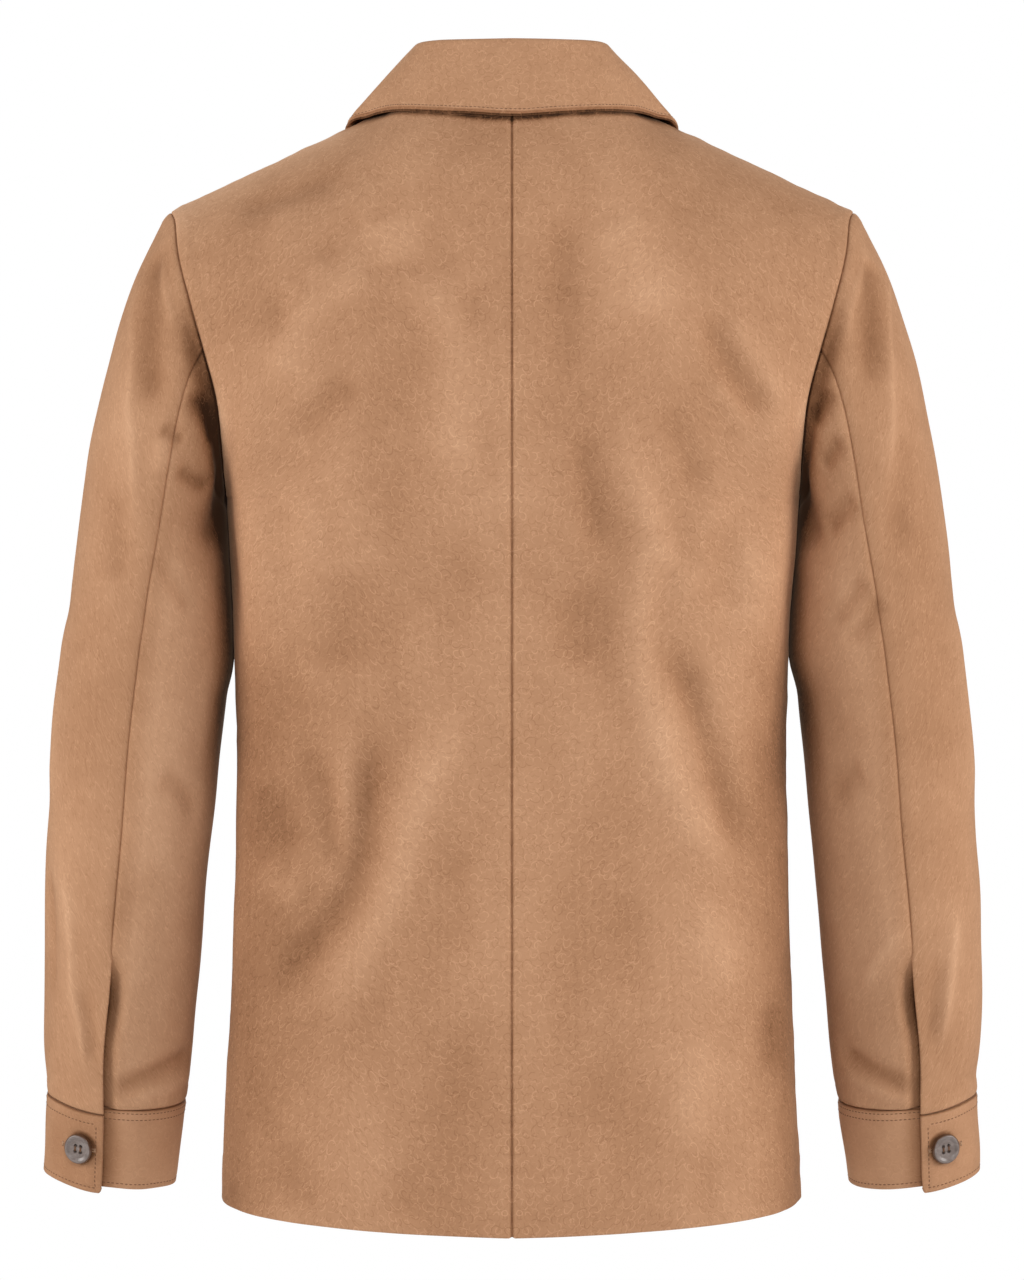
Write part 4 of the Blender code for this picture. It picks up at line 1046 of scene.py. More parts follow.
def makeThread(name, look):
    # thread with painted shade towards both ends of a stitch, where it goes into its hole
    material, nodes, shader = newMaterial(name, look["colour"])
    mix = nodes.add("ShaderNodeMix", {
        "Factor": nodes.attribute("stitchEndShade"), "A": (*look["colour"], 1.0),
        "B": (*look["endShadeColour"], 1.0)}, data_type="RGBA")
    nodes.fill(shader, {"Base Color": mix.outputs["Result"], "Roughness": look["roughness"],
                        "Specular IOR Level": 0.3})
    return material


hornLook = {
    "colour": (0.205, 0.165, 0.150), "pale": (0.255, 0.215, 0.200), "dark": (0.160, 0.125, 0.112),
    "rimColour": (0.10, 0.045, 0.022),
    "streakSize": 0.010, "roughness": 0.34, "coat": 0.15,
}


def makeHorn():
    # cloudy streaks across the disc, paler and darker than the body of the horn
    look = hornLook
    material, nodes, shader = newMaterial("hornButton", look["colour"])
    place = nodes.add("ShaderNodeTexCoord").outputs["Object"]
    turned = nodes.add("ShaderNodeMapping", {"Vector": place, "Scale": (1.0, 1.0, 2.6)})
    cloud = nodes.noise(turned.outputs[0], 1 / look["streakSize"], 4.0, 0.6, 0.8)
    ramp = nodes.add("ShaderNodeValToRGB", {"Fac": cloud})
    stops = ((0.30, look["dark"]), (0.48, look["colour"]), (0.66, look["pale"]))
    ramp.color_ramp.elements.new(0.48)
    for stop, (position, colour) in zip(ramp.color_ramp.elements, stops):
        stop.position = position
        stop.color = (*colour, 1.0)
    fine = nodes.noise(place, 900.0, 2.0)
    raised = nodes.add("ShaderNodeBump", {"Strength": 0.15, "Distance": 0.0002, "Height": fine})
    mix = nodes.add("ShaderNodeMix", {
        "Factor": nodes.attribute("outerEdge"), "A": ramp.outputs["Color"],
        "B": (*look["rimColour"], 1.0)}, data_type="RGBA")
    nodes.fill(shader, {
        "Base Color": mix.outputs["Result"], "Normal": raised.outputs["Normal"],
        "Roughness": nodes.math("MULTIPLY_ADD", fine, 0.16, look["roughness"] - 0.08),
        "Coat Weight": look["coat"], "Coat Roughness": 0.2})
    return material


suedeGroup = makeSuedeGroup()
suede, sleeveSuede, collarSuede, cuffSuede = (
    makeSuede(name, suedeLook[colour], suedeLook[curls], suedeGroup)
    for name, colour, curls in (
        ("suede", "colour", "bodyCurls"), ("sleeveSuede", "colour", "sleeveCurls"),
        ("collarSuede", "collarColour", "collarCurls"), ("cuffSuede", "cuffColour", "cuffCurls")))
thread = makeThread("thread", threadLook)
holeThread = makeThread("holeThread", holeThreadLook)
horn = makeHorn()
print("materials")

# ---- stitches

stitch = {"pitch": 3.0, "length": 2.2, "radius": 0.32, "sink": 0.10, "sides": 5}


def lineBeside(surface, edge, distance, ends=(0.0, 0.0)):
    # the line at one distance from an edge, with its normals; ends are trimmed off in mm
    points = fromEdge(surface["points"], edge)
    normals = fromEdge(surface["normals"], edge)
    far = fromEdge(edgeDistance(surface["points"], edge), edge)
    place = np.clip((far < distance).sum(axis=0), 1, len(far) - 1)
    every = np.arange(points.shape[1])
    low, high = far[place - 1, every], far[place, every]
    part = ((distance - low) / np.maximum(high - low, 1e-9))[:, None]
    line = points[place - 1, every] * (1 - part) + points[place, every] * part
    facing = unit(normals[place - 1, every] * (1 - part) + normals[place, every] * part)
    along = np.concatenate([[0], np.cumsum(length(np.diff(line, axis=0)))])
    keep = (along >= ends[0]) & (along <= along[-1] - ends[1])
    return line[keep], facing[keep]


def stitchPoints(lines, pitch, size, radius, sink):
    # one short thread for each pitch of each line: rings of a thin tube that dips at its ends
    sides = stitch["sides"]
    around = np.linspace(0, 2 * math.pi, sides, endpoint=False)
    alongTube = np.array([-0.5, -0.22, 0.22, 0.5])
    thick = np.array([0.45, 1.0, 1.0, 0.45])
    dip = np.array([-1.0, 0.55, 0.55, -1.0])
    made = []
    for line, facing in lines:
        along = np.concatenate([[0], np.cumsum(length(np.diff(line, axis=0)))])
        at = np.arange(pitch / 2, along[-1], pitch)
        centre, before, after, up = (
            np.stack([np.interp(at + shift, along, values[:, axis]) for axis in range(3)], axis=1)
            for values, shift in ((line, 0), (line, -0.4), (line, 0.4), (facing, 0)))
        forward = unit(after - before)
        up = unit(up - np.sum(up * forward, axis=1, keepdims=True) * forward)
        side = np.cross(forward, up)
        tube = (forward[:, None, None] * (size * alongTube)[None, :, None, None]
                + up[:, None, None] * (radius * dip * 0.5 - sink)[None, :, None, None]
                + radius * thick[None, :, None, None]
                * (side[:, None, None] * np.cos(around)[None, None, :, None]
                   + up[:, None, None] * np.sin(around)[None, None, :, None]))
        made.append(centre[:, None, None] + tube)
    return np.concatenate(made)


def makeStitches(name, lines, pitch=None, size=None, radius=None, sink=None, look=None):
    tubes = stitchPoints(lines, pitch or stitch["pitch"], size or stitch["length"],
                         radius or stitch["radius"], stitch["sink"] if sink is None else sink)
    count, rings, sides = tubes.shape[:3]
    first = np.arange(count)[:, None, None] * rings * sides
    faces = [(part[None] + first).reshape(-1, part.shape[1]) for part in tubeFaces(rings, sides)]
    piece = putMesh(name, tubes.reshape(-1, 3), faces, look or thread, 80)
    # painted shade at both ends of each stitch
    putValues(piece, "stitchEndShade", np.tile(np.repeat([1.0, 0.0, 0.0, 1.0], sides), count))
    return piece


# ---- body panels

bodyEdges = {
    "back": {"top": "seam", "left": "seam", "right": "seam", "bottom": "hem"},
    "front": {"top": "seam", "right": "seam", "bottom": "hem", "left": "hem"},
}
frontStitch = 5.0           # from the left front's edge

# the collar's free edge: degrees round the neck, column and row on the back panel (to 90) or
# the front, and lift
collarEdge = [
    (0, 0.0, 1.54, 3.0), (18, 0.10, 1.12, 3.0), (36, 0.225, 0.82, 3.2), (54, 0.34, 0.64, 3.9),
    (72, 0.428, 0.33, 3.8), (90, 0.503, 0.0, 3.7), (108, 0.475, 0.75, 3.6), (126, 0.405, 1.45, 3.6),
    (144, 0.325, 2.0, 3.6), (160, 0.25, 2.4, 3.6), (172, 0.19, 2.7, 3.6),
]
# painted shadow under and just below that edge, wider towards the collar's corners (degrees round)
collarShade = {"dark": 0.95, "width": (2.0, 3.6), "drop": 2.3, "wider": (40, 50),
               "above": -75, "turns": (-90, 90, 181)}


def collarEdgeAt(turns):
    # the table's places on the panels, lifted off them, and the smooth curve through those
    marks = []
    for turn, column, row, lift in collarEdge:
        point, normal = spotOn("back" if turn <= 90 else "front", row, column)
        marks.append(point + lift * normal)
    table = np.concatenate([mirrored(np.array(marks[:0:-1])), marks])
    markTurns = np.array([row[0] for row in collarEdge], float)
    tableTurns = np.concatenate([-markTurns[:0:-1], markTurns])
    return readBetween(table, np.interp(turns, tableTurns, np.arange(len(table))))


def besideCollar(points):
    # painted shadow: -dark * exp(-(d / width)^2), d being the distance in x and z to the collar's
    # free edge
    turns = np.linspace(*collarShade["turns"])
    edge = collarEdgeAt(turns) - [0.0, 0.0, collarShade["drop"]]
    shade = np.zeros(points.shape[:2])
    near = points[..., 2] > collarShade["above"]
    off = points[near][:, None] - edge[None]
    far = np.hypot(off[..., 0], off[..., 2])
    place = far.argmin(axis=1)
    least, most = collarShade["width"]
    wide = least + (most - least) * above(np.abs(turns[place]), *collarShade["wider"])
    shade[near] = -collarShade["dark"] * hill(far.min(axis=1), wide)
    return shade


# beside the side seams, for each panel: painted light just under the arm and painted shade below
# it, from so far to so far from the seam, and the cloth is fuller by so many mm
sidePaintedLightAndFullness = {
    ("back", "left"): {"from": 18, "reach": 112, "dark": 0.44, "pale": 0.30, "full": 4.5},
    ("back", "right"): {"from": 12, "reach": 92, "dark": 0.43, "pale": 0.28, "full": 4.5},
    ("front", "left"): {"from": 8, "reach": 60, "dark": 0.30, "pale": 0.0, "full": 1.5},
    ("front", "right"): {"from": 8, "reach": 60, "dark": 0.30, "pale": 0.0, "full": 1.5},
}
# where that is: a window says where it starts, over what it grows, where it ends and over
# what it fades, and a pair says from where on and over what
sidePlace = {
    "fullAcross": (3, 14, 48, 30), "fullDown": (-400, 80, -175, 70),
    "paleAcross": 21, "paleDown": (-360, 60, -185, 25),
    "darkBelow": (-190, 60), "darkestBelow": (-345, 45), "least": 0.22,
}
# painted light on the shoulders: how much paler they are, and how far down that reaches; from where
# to where outwards
shoulderPaintedLight = {"left": (0.42, 78.0), "right": (0.13, 50.0), "outwards": (80, 40)}
# how far folds and swells take to come in from the side seam, the top and the opening, and
# how much of the swells is there at the side seam itself
foldsClear = {"side": 22, "top": 30, "opening": 45, "swellSide": 25, "swellLeast": 0.35}


def relievedPanel(side, hand):
    # folds and drape, which fade out at the outer seam, and the seams' own shape, with the painted
    # light and shade that go with them and with the side seams, shoulders and collar
    surface = body[side, hand]
    points, normals = surface["points"], surface["normals"]
    x, z = np.abs(points[..., 0]), points[..., 2]
    beside, place = sidePaintedLightAndFullness[side, hand], sidePlace
    toSide, toTop = edgeDistance(points, "right"), edgeDistance(points, "top")
    fade = ease(toSide / foldsClear["side"]) * ease(toTop / foldsClear["top"])
    if side == "front":
        fade *= ease(edgeDistance(points, "left") / foldsClear["opening"])
    relief, nap = foldRelief(points[..., 0], z, backFolds if side == "back" else frontFolds)
    least = foldsClear["swellLeast"]
    swell = drapeRelief(points) * ease(toTop / foldsClear["top"]) \
        * (least + (1 - least) * ease(toSide / foldsClear["swellSide"]))
    relief = relief * fade + swell
    nap = nap * fade + paintedLightOnFolds * swell
    # cloth gathers beside the underarm, so it keeps facing backwards nearly up to the seam
    relief += beside["full"] * between(x[:, -1:] - x, *place["fullAcross"]) \
        * between(z, *place["fullDown"])
    # painted shade beside the side seam below the arm, and painted light just under the arm
    nap -= beside["dark"] * (1 - above(toSide, beside["from"], beside["reach"])) \
        * below(z, *place["darkBelow"]) \
        * (place["least"] + (1 - place["least"]) * below(z, *place["darkestBelow"]))
    nap += beside["pale"] * (1 - ease(toSide / place["paleAcross"])) \
        * between(z, *place["paleDown"])
    # painted light on the shoulders, and painted shadow under the collar's edge
    pale, reach = shoulderPaintedLight[hand]
    nap += pale * (1 - ease(toTop / reach)) * above(x, *shoulderPaintedLight["outwards"])
    if side == "back":
        nap += besideCollar(points)
    for edge, kind in bodyEdges[side].items():
        if kind == "seam":
            nap += seamShadow(edgeDistance(points, edge))
    relief += edgeRelief(points, bodyEdges[side])
    return {"points": points + relief[..., None] * normals, "normals": normals, "nap": nap}


def makePanels():
    made = {}
    for side, hand in body:
        surface = relievedPanel(side, hand)
        free = ("bottom",) if side == "back" else ("bottom", "left")
        name = f"{side}{hand.capitalize()}"
        piece = wall(name, surface["points"], surface["normals"], cut["cloth"], free,
                     suede, nap=surface["nap"])
        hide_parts(f"{side}_{hand}")
        made[side, hand] = (piece, surface)
    return made


panels = makePanels()
print("body panels")

# ---- sleeves

vent = {
    "drops": (6.4, 7.0), "laps": (6.95, 7.45), "depth": 4.0, "reach": 12.0, "sag": 0.6,
    "pocketRow": 7.22, "pocketRows": 0.42, "pocket": 3.4,     # the deep dark part
    "shadow": 0.56, "pocketShadow": 0.26, "shadowReach": 6.5,
    "droop": 3.8, "droopSpread": 60.0, "droopStart": 7.2,
    "tuckColumns": 8,           # of the cloth that carries on beneath the upper sleeve
    # how far the upper sleeve's edge stands out, in mm, over so many degrees, from which row
    "proud": 0.5, "proudReach": 9, "proudFrom": (6.3, 0.6),
}


def droopAt(degrees, row):
    near = ease(1 - np.asarray(degrees) / vent["droopSpread"])
    start = vent["droopStart"]
    return vent["droop"] * near * above(np.asarray(row), start, arm["cuffTop"] - start)


# the sleeve's inner side: dropped, with painted shade, at the lower armhole, full and with
# painted shade where it lies along the body, and with painted light behind that
crevice = {
    "drop": 3.0, "dropFrom": 6, "dropBefore": (158, 24),
    "full": 1.0, "fullFrom": 5, "fullAbove": (-400, 60),
    "shadow": (0.55, 0.85), "reach": (17.0, 23.0),      # high and low, and below which height
    "low": (-215, 35),
    # inner: painted shade on the inner side; pale: painted light behind it; beside: painted shade
    # beside the body
    "inner": (0.12, 0.85), "innerDown": (-480, -405), "innerFrom": 8,
    "pale": {"left": 0.25, "right": 0.17}, "paleBelow": (-275, 50),
    "clear": 0.35, "parts": -394.0,      # how near it lies, and where it leaves the body
    "beside": {"left": (0.42, 15.0), "right": (0.14, 10.0)},     # how dark, and how far
    "besideDown": (-490, 60, -140, 90), "drawnDown": (34, -264, 8),
    "flankColumns": 24,         # of a panel, among which the flank's outermost point lies
    # windows in degrees round the arm: start, growth, end and fall
    "behind": (60, 25, 205, 25), "fullAt": (118, 26, 176, 14), "innerAt": (138, 28, 262, 40),
    "paleAt": (92, 14, 176, 18), "drawnAt": (118, 48, 242, 48),
}
sleeveShape = {
    "folds": (12, 7), "swells": (25, 18),       # how far they keep from armhole and cuff
    "swell": 0.8, "degree": 0.9,                # mm across a fold for each degree round the arm
    "seamRing": 70,             # on which distances from the long seams are measured
    # seamShade: painted shade in the long seams, stronger below darkerBelow
    "seamDepth": 0.75, "seamShade": (0.6, 0.5), "darkerBelow": (-455, 60),
    "hindarmTo": (6.2, 0.5),    # the rows where that seam opens into the vent
}
ringDegrees = ringSteps * 15


def flankAt(side, hand):
    # how far out each row of a panel reaches beside its seam
    points = panels[side, hand][1]["points"]
    return np.abs(points[:, -crevice["flankColumns"]:, 0]).max(axis=1)


def besideBody(points, hand):
    # the inner side drawn across to the body's flank, from the underarm to where the two part:
    # x moves by (inner x - flank x) * a share that is 1 on the inner side and 0 beyond it
    seamZ = panels["back", hand][1]["points"][underarm:, -1, 2]
    flank = np.maximum(flankAt("back", hand), flankAt("front", hand))[underarm:]
    innermost = np.abs(ringSteps - 12).argmin()
    x, z = np.abs(points[:, innermost, 0]), points[:, innermost, 2]
    target = np.interp(-z, -seamZ, flank) + crevice["clear"]
    draw = (x - target) * between(z, crevice["parts"], *crevice["drawnDown"])
    share = between(ringDegrees, *crevice["drawnAt"])
    moved = points.copy()
    moved[..., 0] -= np.sign(moved[..., 0]) * draw[:, None] * share[None, :]
    return moved


def relievedSleeve(hand):
    surface, shape = sleeves[hand], sleeveShape
    points, normals = surface["points"], surface["normals"]
    closed = np.concatenate([points, points[:, :1]], axis=1)
    degrees = np.broadcast_to(ringDegrees, points.shape[:2])
    x, z = np.abs(points[..., 0]), points[..., 2]
    toTop, toCuff = (edgeDistance(closed, edge)[:, :-1] for edge in ("top", "bottom"))
    fade, clear = (ease(toTop / top) * ease(toCuff / bottom)
                   for top, bottom in (shape["folds"], shape["swells"]))
    folds = sleeveFolds["both"] + sleeveFolds[hand]
    relief, nap = foldRelief(degrees, z, folds, shape["degree"])
    swell = shape["swell"] * drapeRelief(points) * clear
    relief = relief * fade + swell
    nap = nap * fade + paintedLightOnFolds * swell + seamShadow(toTop) + seamShadow(toCuff)
    relief += edgeRelief(points, {"top": "seam", "bottom": "seam"})
    # the sleeve drops at the lower armhole, with painted shade there and on its inner side
    behind = between(degrees, *crevice["behind"])
    relief -= crevice["drop"] * behind * below(degrees, *crevice["dropBefore"]) \
        * hill(toTop - crevice["dropFrom"], crevice["dropFrom"])
    relief += crevice["full"] * between(degrees, *crevice["fullAt"]) \
        * ease(toTop / crevice["fullFrom"]) * above(z, *crevice["fullAbove"])
    shadow, reach = (high + (low - high) * below(z, *crevice["low"])
                     for high, low in (crevice["shadow"], crevice["reach"]))
    nap -= shadow * behind * hill(toTop, reach)
    # and painted shade beside the armhole seam and the flank, by how far x is from them
    gap = x - np.interp(-z, -panels["back", hand][1]["points"][:, -1, 2], flankAt("back", hand))
    dark, width = crevice["beside"][hand]
    nap -= dark * hill(gap, width) * behind * between(z, *crevice["besideDown"])
    nap -= between(degrees, *crevice["innerAt"]) * ease(toTop / crevice["innerFrom"]) \
        * np.interp(z, crevice["innerDown"], crevice["inner"])
    # painted light behind the inner side
    nap += crevice["pale"][hand] * between(degrees, *crevice["paleAt"]) \
        * below(z, *crevice["paleBelow"])
    # the seams run along columns, so distances are measured round the ring from each
    steps = length(np.diff(closed[shape["seamRing"]], axis=0))
    around = np.concatenate([[0], np.cumsum(steps)])
    aboveVent = 1 - above(sleeveRowNumbers[:, None], *shape["hindarmTo"])
    # painted shade in the long seams, stronger towards the cuff
    least, more = shape["seamShade"]
    seamShade = least + more * below(z, *shape["darkerBelow"])
    for column, upTo in ((hindarmColumn, aboveVent), (forearmColumn, 1.0)):
        far = np.abs(around[:-1] - around[column])
        far = np.broadcast_to(np.minimum(far, around[-1] - far), relief.shape)
        relief += upTo * seamRelief(far, shape["seamDepth"])
        nap += seamShade * upTo * seamShadow(far)
    return besideBody(points + relief[..., None] * normals, hand), normals, nap


def upperSleeve(points, normals, nap):
    ring = np.arange(forearmColumn, len(ringSteps) + hindarmColumn + 1) % len(ringSteps)
    outer = points[:, ring].copy()
    steps = np.where(np.arange(len(ring)) < len(ringSteps) - forearmColumn,
                     ringSteps[ring] - 24, ringSteps[ring])
    before = (arm["hindarm"] - steps) * 15
    outer[..., 2] -= droopAt(before[None, :], sleeveRowNumbers[:, None])
    # the vent's edge stands slightly proud
    proud = vent["proud"] * above(sleeveRowNumbers, *vent["proudFrom"])[:, None] \
        * hill(before, vent["proudReach"])[None, :]
    return outer + proud[..., None] * normals[:, ring], normals[:, ring], nap[:, ring]


def underSleeve(points, normals, nap):
    ring = np.arange(hindarmColumn, forearmColumn + 1)
    outer, facing = points[:, ring].copy(), normals[:, ring].copy()
    drop, lap = (ease((sleeveRowNumbers - start) / (end - start))[:, None]
                 for start, end in (vent["drops"], vent["laps"]))
    pocket = hill(sleeveRowNumbers - vent["pocketRow"], vent["pocketRows"])[:, None]
    far = edgeDistance(outer, "left")
    sink = vent["depth"] * drop * (1 - ease((far - 1.5) / 10))
    sink += vent["pocket"] * drop * pocket * (1 - ease((far - 2) / 13))
    outer -= sink[..., None] * facing
    # cloth that carries on beneath the upper sleeve
    count = vent["tuckColumns"]
    beside, besideNormals = (grid[:, hindarmColumn - count:hindarmColumn][:, ::-1]
                             for grid in (points, normals))
    seamLine = points[:, hindarmColumn][:, None]
    shares = np.linspace(0.12, 1, count)[None, :, None]
    lap = lap[:, :, None]
    depth = sink[:, :1, None] + vent["sag"] * lap * shares
    tucked = seamLine + unit(beside[:, -1:] - seamLine) * vent["reach"] * shares * lap \
        - depth * (facing[:, :1] * (1 - shares) + besideNormals * shares)
    shadow = (vent["shadow"] + vent["pocketShadow"] * pocket) * drop
    nap = nap[:, ring] - shadow * np.exp(-far / vent["shadowReach"])
    return (np.concatenate([tucked[:, ::-1], outer], axis=1),
            *(np.concatenate([np.repeat(grid[:, :1], count, axis=1), grid], axis=1)
              for grid in (facing, nap)))


def makeSleeves():
    made = {}
    for hand in hands:
        points, normals, tones = relievedSleeve(hand)
        for part, maker in (("Upper", upperSleeve), ("Under", underSleeve)):
            outer, facing, nap = maker(points, normals, tones)
            name = f"sleeve{hand.capitalize()}{part}"
            piece = wall(name, outer, facing, cut["cloth"], ("right",) if part == "Upper" else (),
                         sleeveSuede, nap=nap)
            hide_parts(f"sleeve_{hand}_{part.lower()}")
            made[hand, part] = (piece, {"points": outer, "normals": facing})
    return made


sleevePieces = makeSleeves()
print("sleeves")

# ---- cuffs

cuff = {
    "underEnd": 50.0, "lapRise": (2.0, 40.0), "proud": 0.7,
    "rows": (0.0065, 1.0), "corner": 2.2, "cornerRise": 8,
    "steps": (18, 150, 26),         # beneath the lap, round the wrist, and on the lap
    "topStitch": (2.0, 6.4), "endStitch": 4.3, "hemStitch": 2.8,
    "endGroove": 0.2,
    "unstitched": 40,               # columns of the lapped end without the upper line
    "buttonAngle": 66.0, "seamShade": 1.2,
    "buttonShadow": 0.6, "shadowRadius": (9.4, 2.4), "shadowAt": (-1.1, 0.7),
    "lapShadow": 0.50, "lapShadowReach": 4.0,
    "tab": {"left": -0.09, "right": 0.06},          # how much paler the end with the button is
    "tabReach": (22, 14),
    # painted light on the inner side, from the lap on
    "pale": 0.18, "paleAt": (5, 10, 95, 35),        # on the inner side, from the lap on
    "swell": 0.35, "swellSize": 30, "swellSeed": {"left": 23, "right": 29}, "swellClear": 12,
    "seamSink": 0.5,
}


def cuffPoints():
    # a spiral round the wrist: the end past the hindarm seam lies over the other one
    seam, hemSeam = (sleeveTable[arm["cuffTop"] + step][5] for step in (0, 1))
    underSteps, wristSteps, lapSteps = cuff["steps"]
    beneath = cuff["underEnd"] + (seam - cuff["underEnd"]) * drawn(underSteps, 0.6, 0.0)
    around = seam + (360 + cuff["underEnd"] - seam) * drawn(wristSteps, 0.6, 0.0)[1:-1]
    lapped = beneath[0] + 360 + (seam - beneath[0]) * drawn(lapSteps, 0.0, 0.85)
    angles = np.concatenate([beneath, around, lapped])
    over = ease((angles - seam - cuff["lapRise"][0]) / cuff["lapRise"][1])
    depth = cuff["proud"] - (cut["doubled"] + cut["lapGap"]) * (1 - over)
    parts = cuff["rows"][0] + (cuff["rows"][1] - cuff["rows"][0]) * drawn(34, 0.8, 0.7)
    turned = np.radians(angles[None, :] + (hemSeam - seam) * parts[:, None])
    rings = sleeveRing(arm["cuffTop"] + parts, turned)
    rings[..., 2] -= droopAt(seam + 360 - angles, arm["cuffTop"])
    normals = gridNormals(rings, -1)
    points = rings + depth[None, :, None] * normals
    # round the bottom corner of the lapped end
    toEnd, toHem = edgeDistance(points, "right"), edgeDistance(points, "bottom")
    inEnd = np.clip(1 - toEnd / cuff["corner"], 0, 1)
    points[..., 2] += cuff["corner"] * (1 - np.sqrt(1 - inEnd ** 2)) \
        * np.clip(1 - toHem / cuff["cornerRise"], 0, 1)
    return points, normals


def cuffButtonPlace(hand):
    # where the button is sewn, which way it faces, and which way is up and away from the lap
    angles = np.radians(cuff["buttonAngle"] + np.array([-8.0, 0.0, 8.0]))
    grid = sleeveRing(arm["cuffTop"] + np.array([0.42, 0.5, 0.58]), np.tile(angles, (3, 1)))
    seam = sleeveTable[arm["cuffTop"]][5]
    grid[..., 2] -= droopAt(seam - cuff["buttonAngle"], arm["cuffTop"])
    normal = gridNormals(grid, -1)[1, 1]
    place = (grid[1, 1] + cuff["proud"] * normal, normal,
             unit(grid[0, 1] - grid[2, 1]), unit(grid[1, 0] - grid[1, 2]))
    return [forHand(vector, hand) for vector in place]


def cuffPaintedLight(points, hand):
    # painted shade in the seam, beside the lap and in the button's shadow, and painted light on the
    # inner side; the end with the button is also made darker on the left and paler on the right
    nap = cuff["seamShade"] * seamShadow(edgeDistance(points, "top"))
    first = cuff["steps"][0]
    toLap = edgeDistance(points[:, first:], "left")
    nap[:, first:] += cuff["pale"] * between(toLap, *cuff["paleAt"]) \
        - cuff["lapShadow"] * np.exp(-toLap / cuff["lapShadowReach"])
    point, _, upward, away = cuffButtonPlace(hand)
    across, up = cuff["shadowAt"]
    shaded = point + across * away + up * upward
    nap += cuff["tab"][hand] * (1 - above(length(points - point), *cuff["tabReach"]))
    return nap - cuff["buttonShadow"] * (1 - above(length(points - shaded), *cuff["shadowRadius"]))


def relievedCuff(points, normals, hand):
    toTop = edgeDistance(points, "top")
    relief = cuff["swell"] * ripple(points, cuff["swellSize"], cuff["swellSeed"][hand])
    relief = relief * ease(toTop / cuff["swellClear"]) - cuff["seamSink"] * hill(toTop, 1.0)
    for distance in cuff["topStitch"]:
        relief += stitchGroove(toTop, distance)
    for edge, distance in (("right", cuff["endStitch"]), ("bottom", cuff["hemStitch"])):
        relief += stitchGroove(edgeDistance(points, edge), distance, cuff["endGroove"])
    return points + relief[..., None] * normals


def makeCuffs():
    made = {}
    for hand in hands:
        points, normals = (forHand(grid, hand) for grid in cuffPoints())
        outer = relievedCuff(points, normals, hand)
        piece = wall(f"cuff{hand.capitalize()}", outer, normals, cut["doubled"],
                     ("bottom", "left", "right"), cuffSuede, layers=2,
                     nap=cuffPaintedLight(outer, hand))
        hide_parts(f"cuff_{hand}")
        surface = {"points": outer, "normals": normals}
        first, (low, high) = cuff["steps"][0], cuff["topStitch"]
        shown = {name: grid[:, first:] for name, grid in surface.items()}
        unlapped = {name: grid[:, :-cuff["unstitched"]] for name, grid in shown.items()}
        lines = [lineBeside(unlapped, "top", low),
                 lineBeside(shown, "top", high, (0, cuff["endStitch"])),
                 lineBeside(shown, "right", cuff["endStitch"], (high, cuff["hemStitch"])),
                 lineBeside(shown, "bottom", cuff["hemStitch"], (0, cuff["endStitch"]))]
        stitches = makeStitches(f"cuffStitches{hand.capitalize()}", lines)
        made[hand] = (piece, surface, stitches)
    return made


cuffs = makeCuffs()
print("cuffs")

# ---- collar

collar = {
    "end": 172.0, "seat": 1.6, "roll": 4.0, "rollTurn": 145.0, "swell": 1.0, "swellRise": 0.8,
    "stitch": 4.0, "stitchEnds": 22,
    # painted shade on the under layer (lipShade) and along the free edge (edgeShade), and a painted
    # highlight on the rolled edge (rolledHighlight)
    "lip": 1.7, "step": 1.2, "lipShade": 0.30,      # the under layer shows below the upper one
    "edgeShade": 0.55, "edgeWidth": 1.0,
    "rolled": 0.25, "rolledHighlight": 0.12, "rolledWidth": 0.6,
    "swells": (0.45, 42, 31), "swellsFrom": 25,     # height, size and seed
    "edgeSwells": (0.3, 17, 37), "edgeSwellsTo": 9,
}


def necklineAt(turns):
    angle = np.radians(np.abs(turns))
    behind = np.abs(turns) <= 90
    columns = np.where(behind, angle, math.pi - angle) / (math.pi / 2) * cut["neckShare"]
    points = np.where(behind[:, None], topEdge("back", columns), topEdge("front", columns))
    points[:, 0] *= np.sign(turns)
    return points


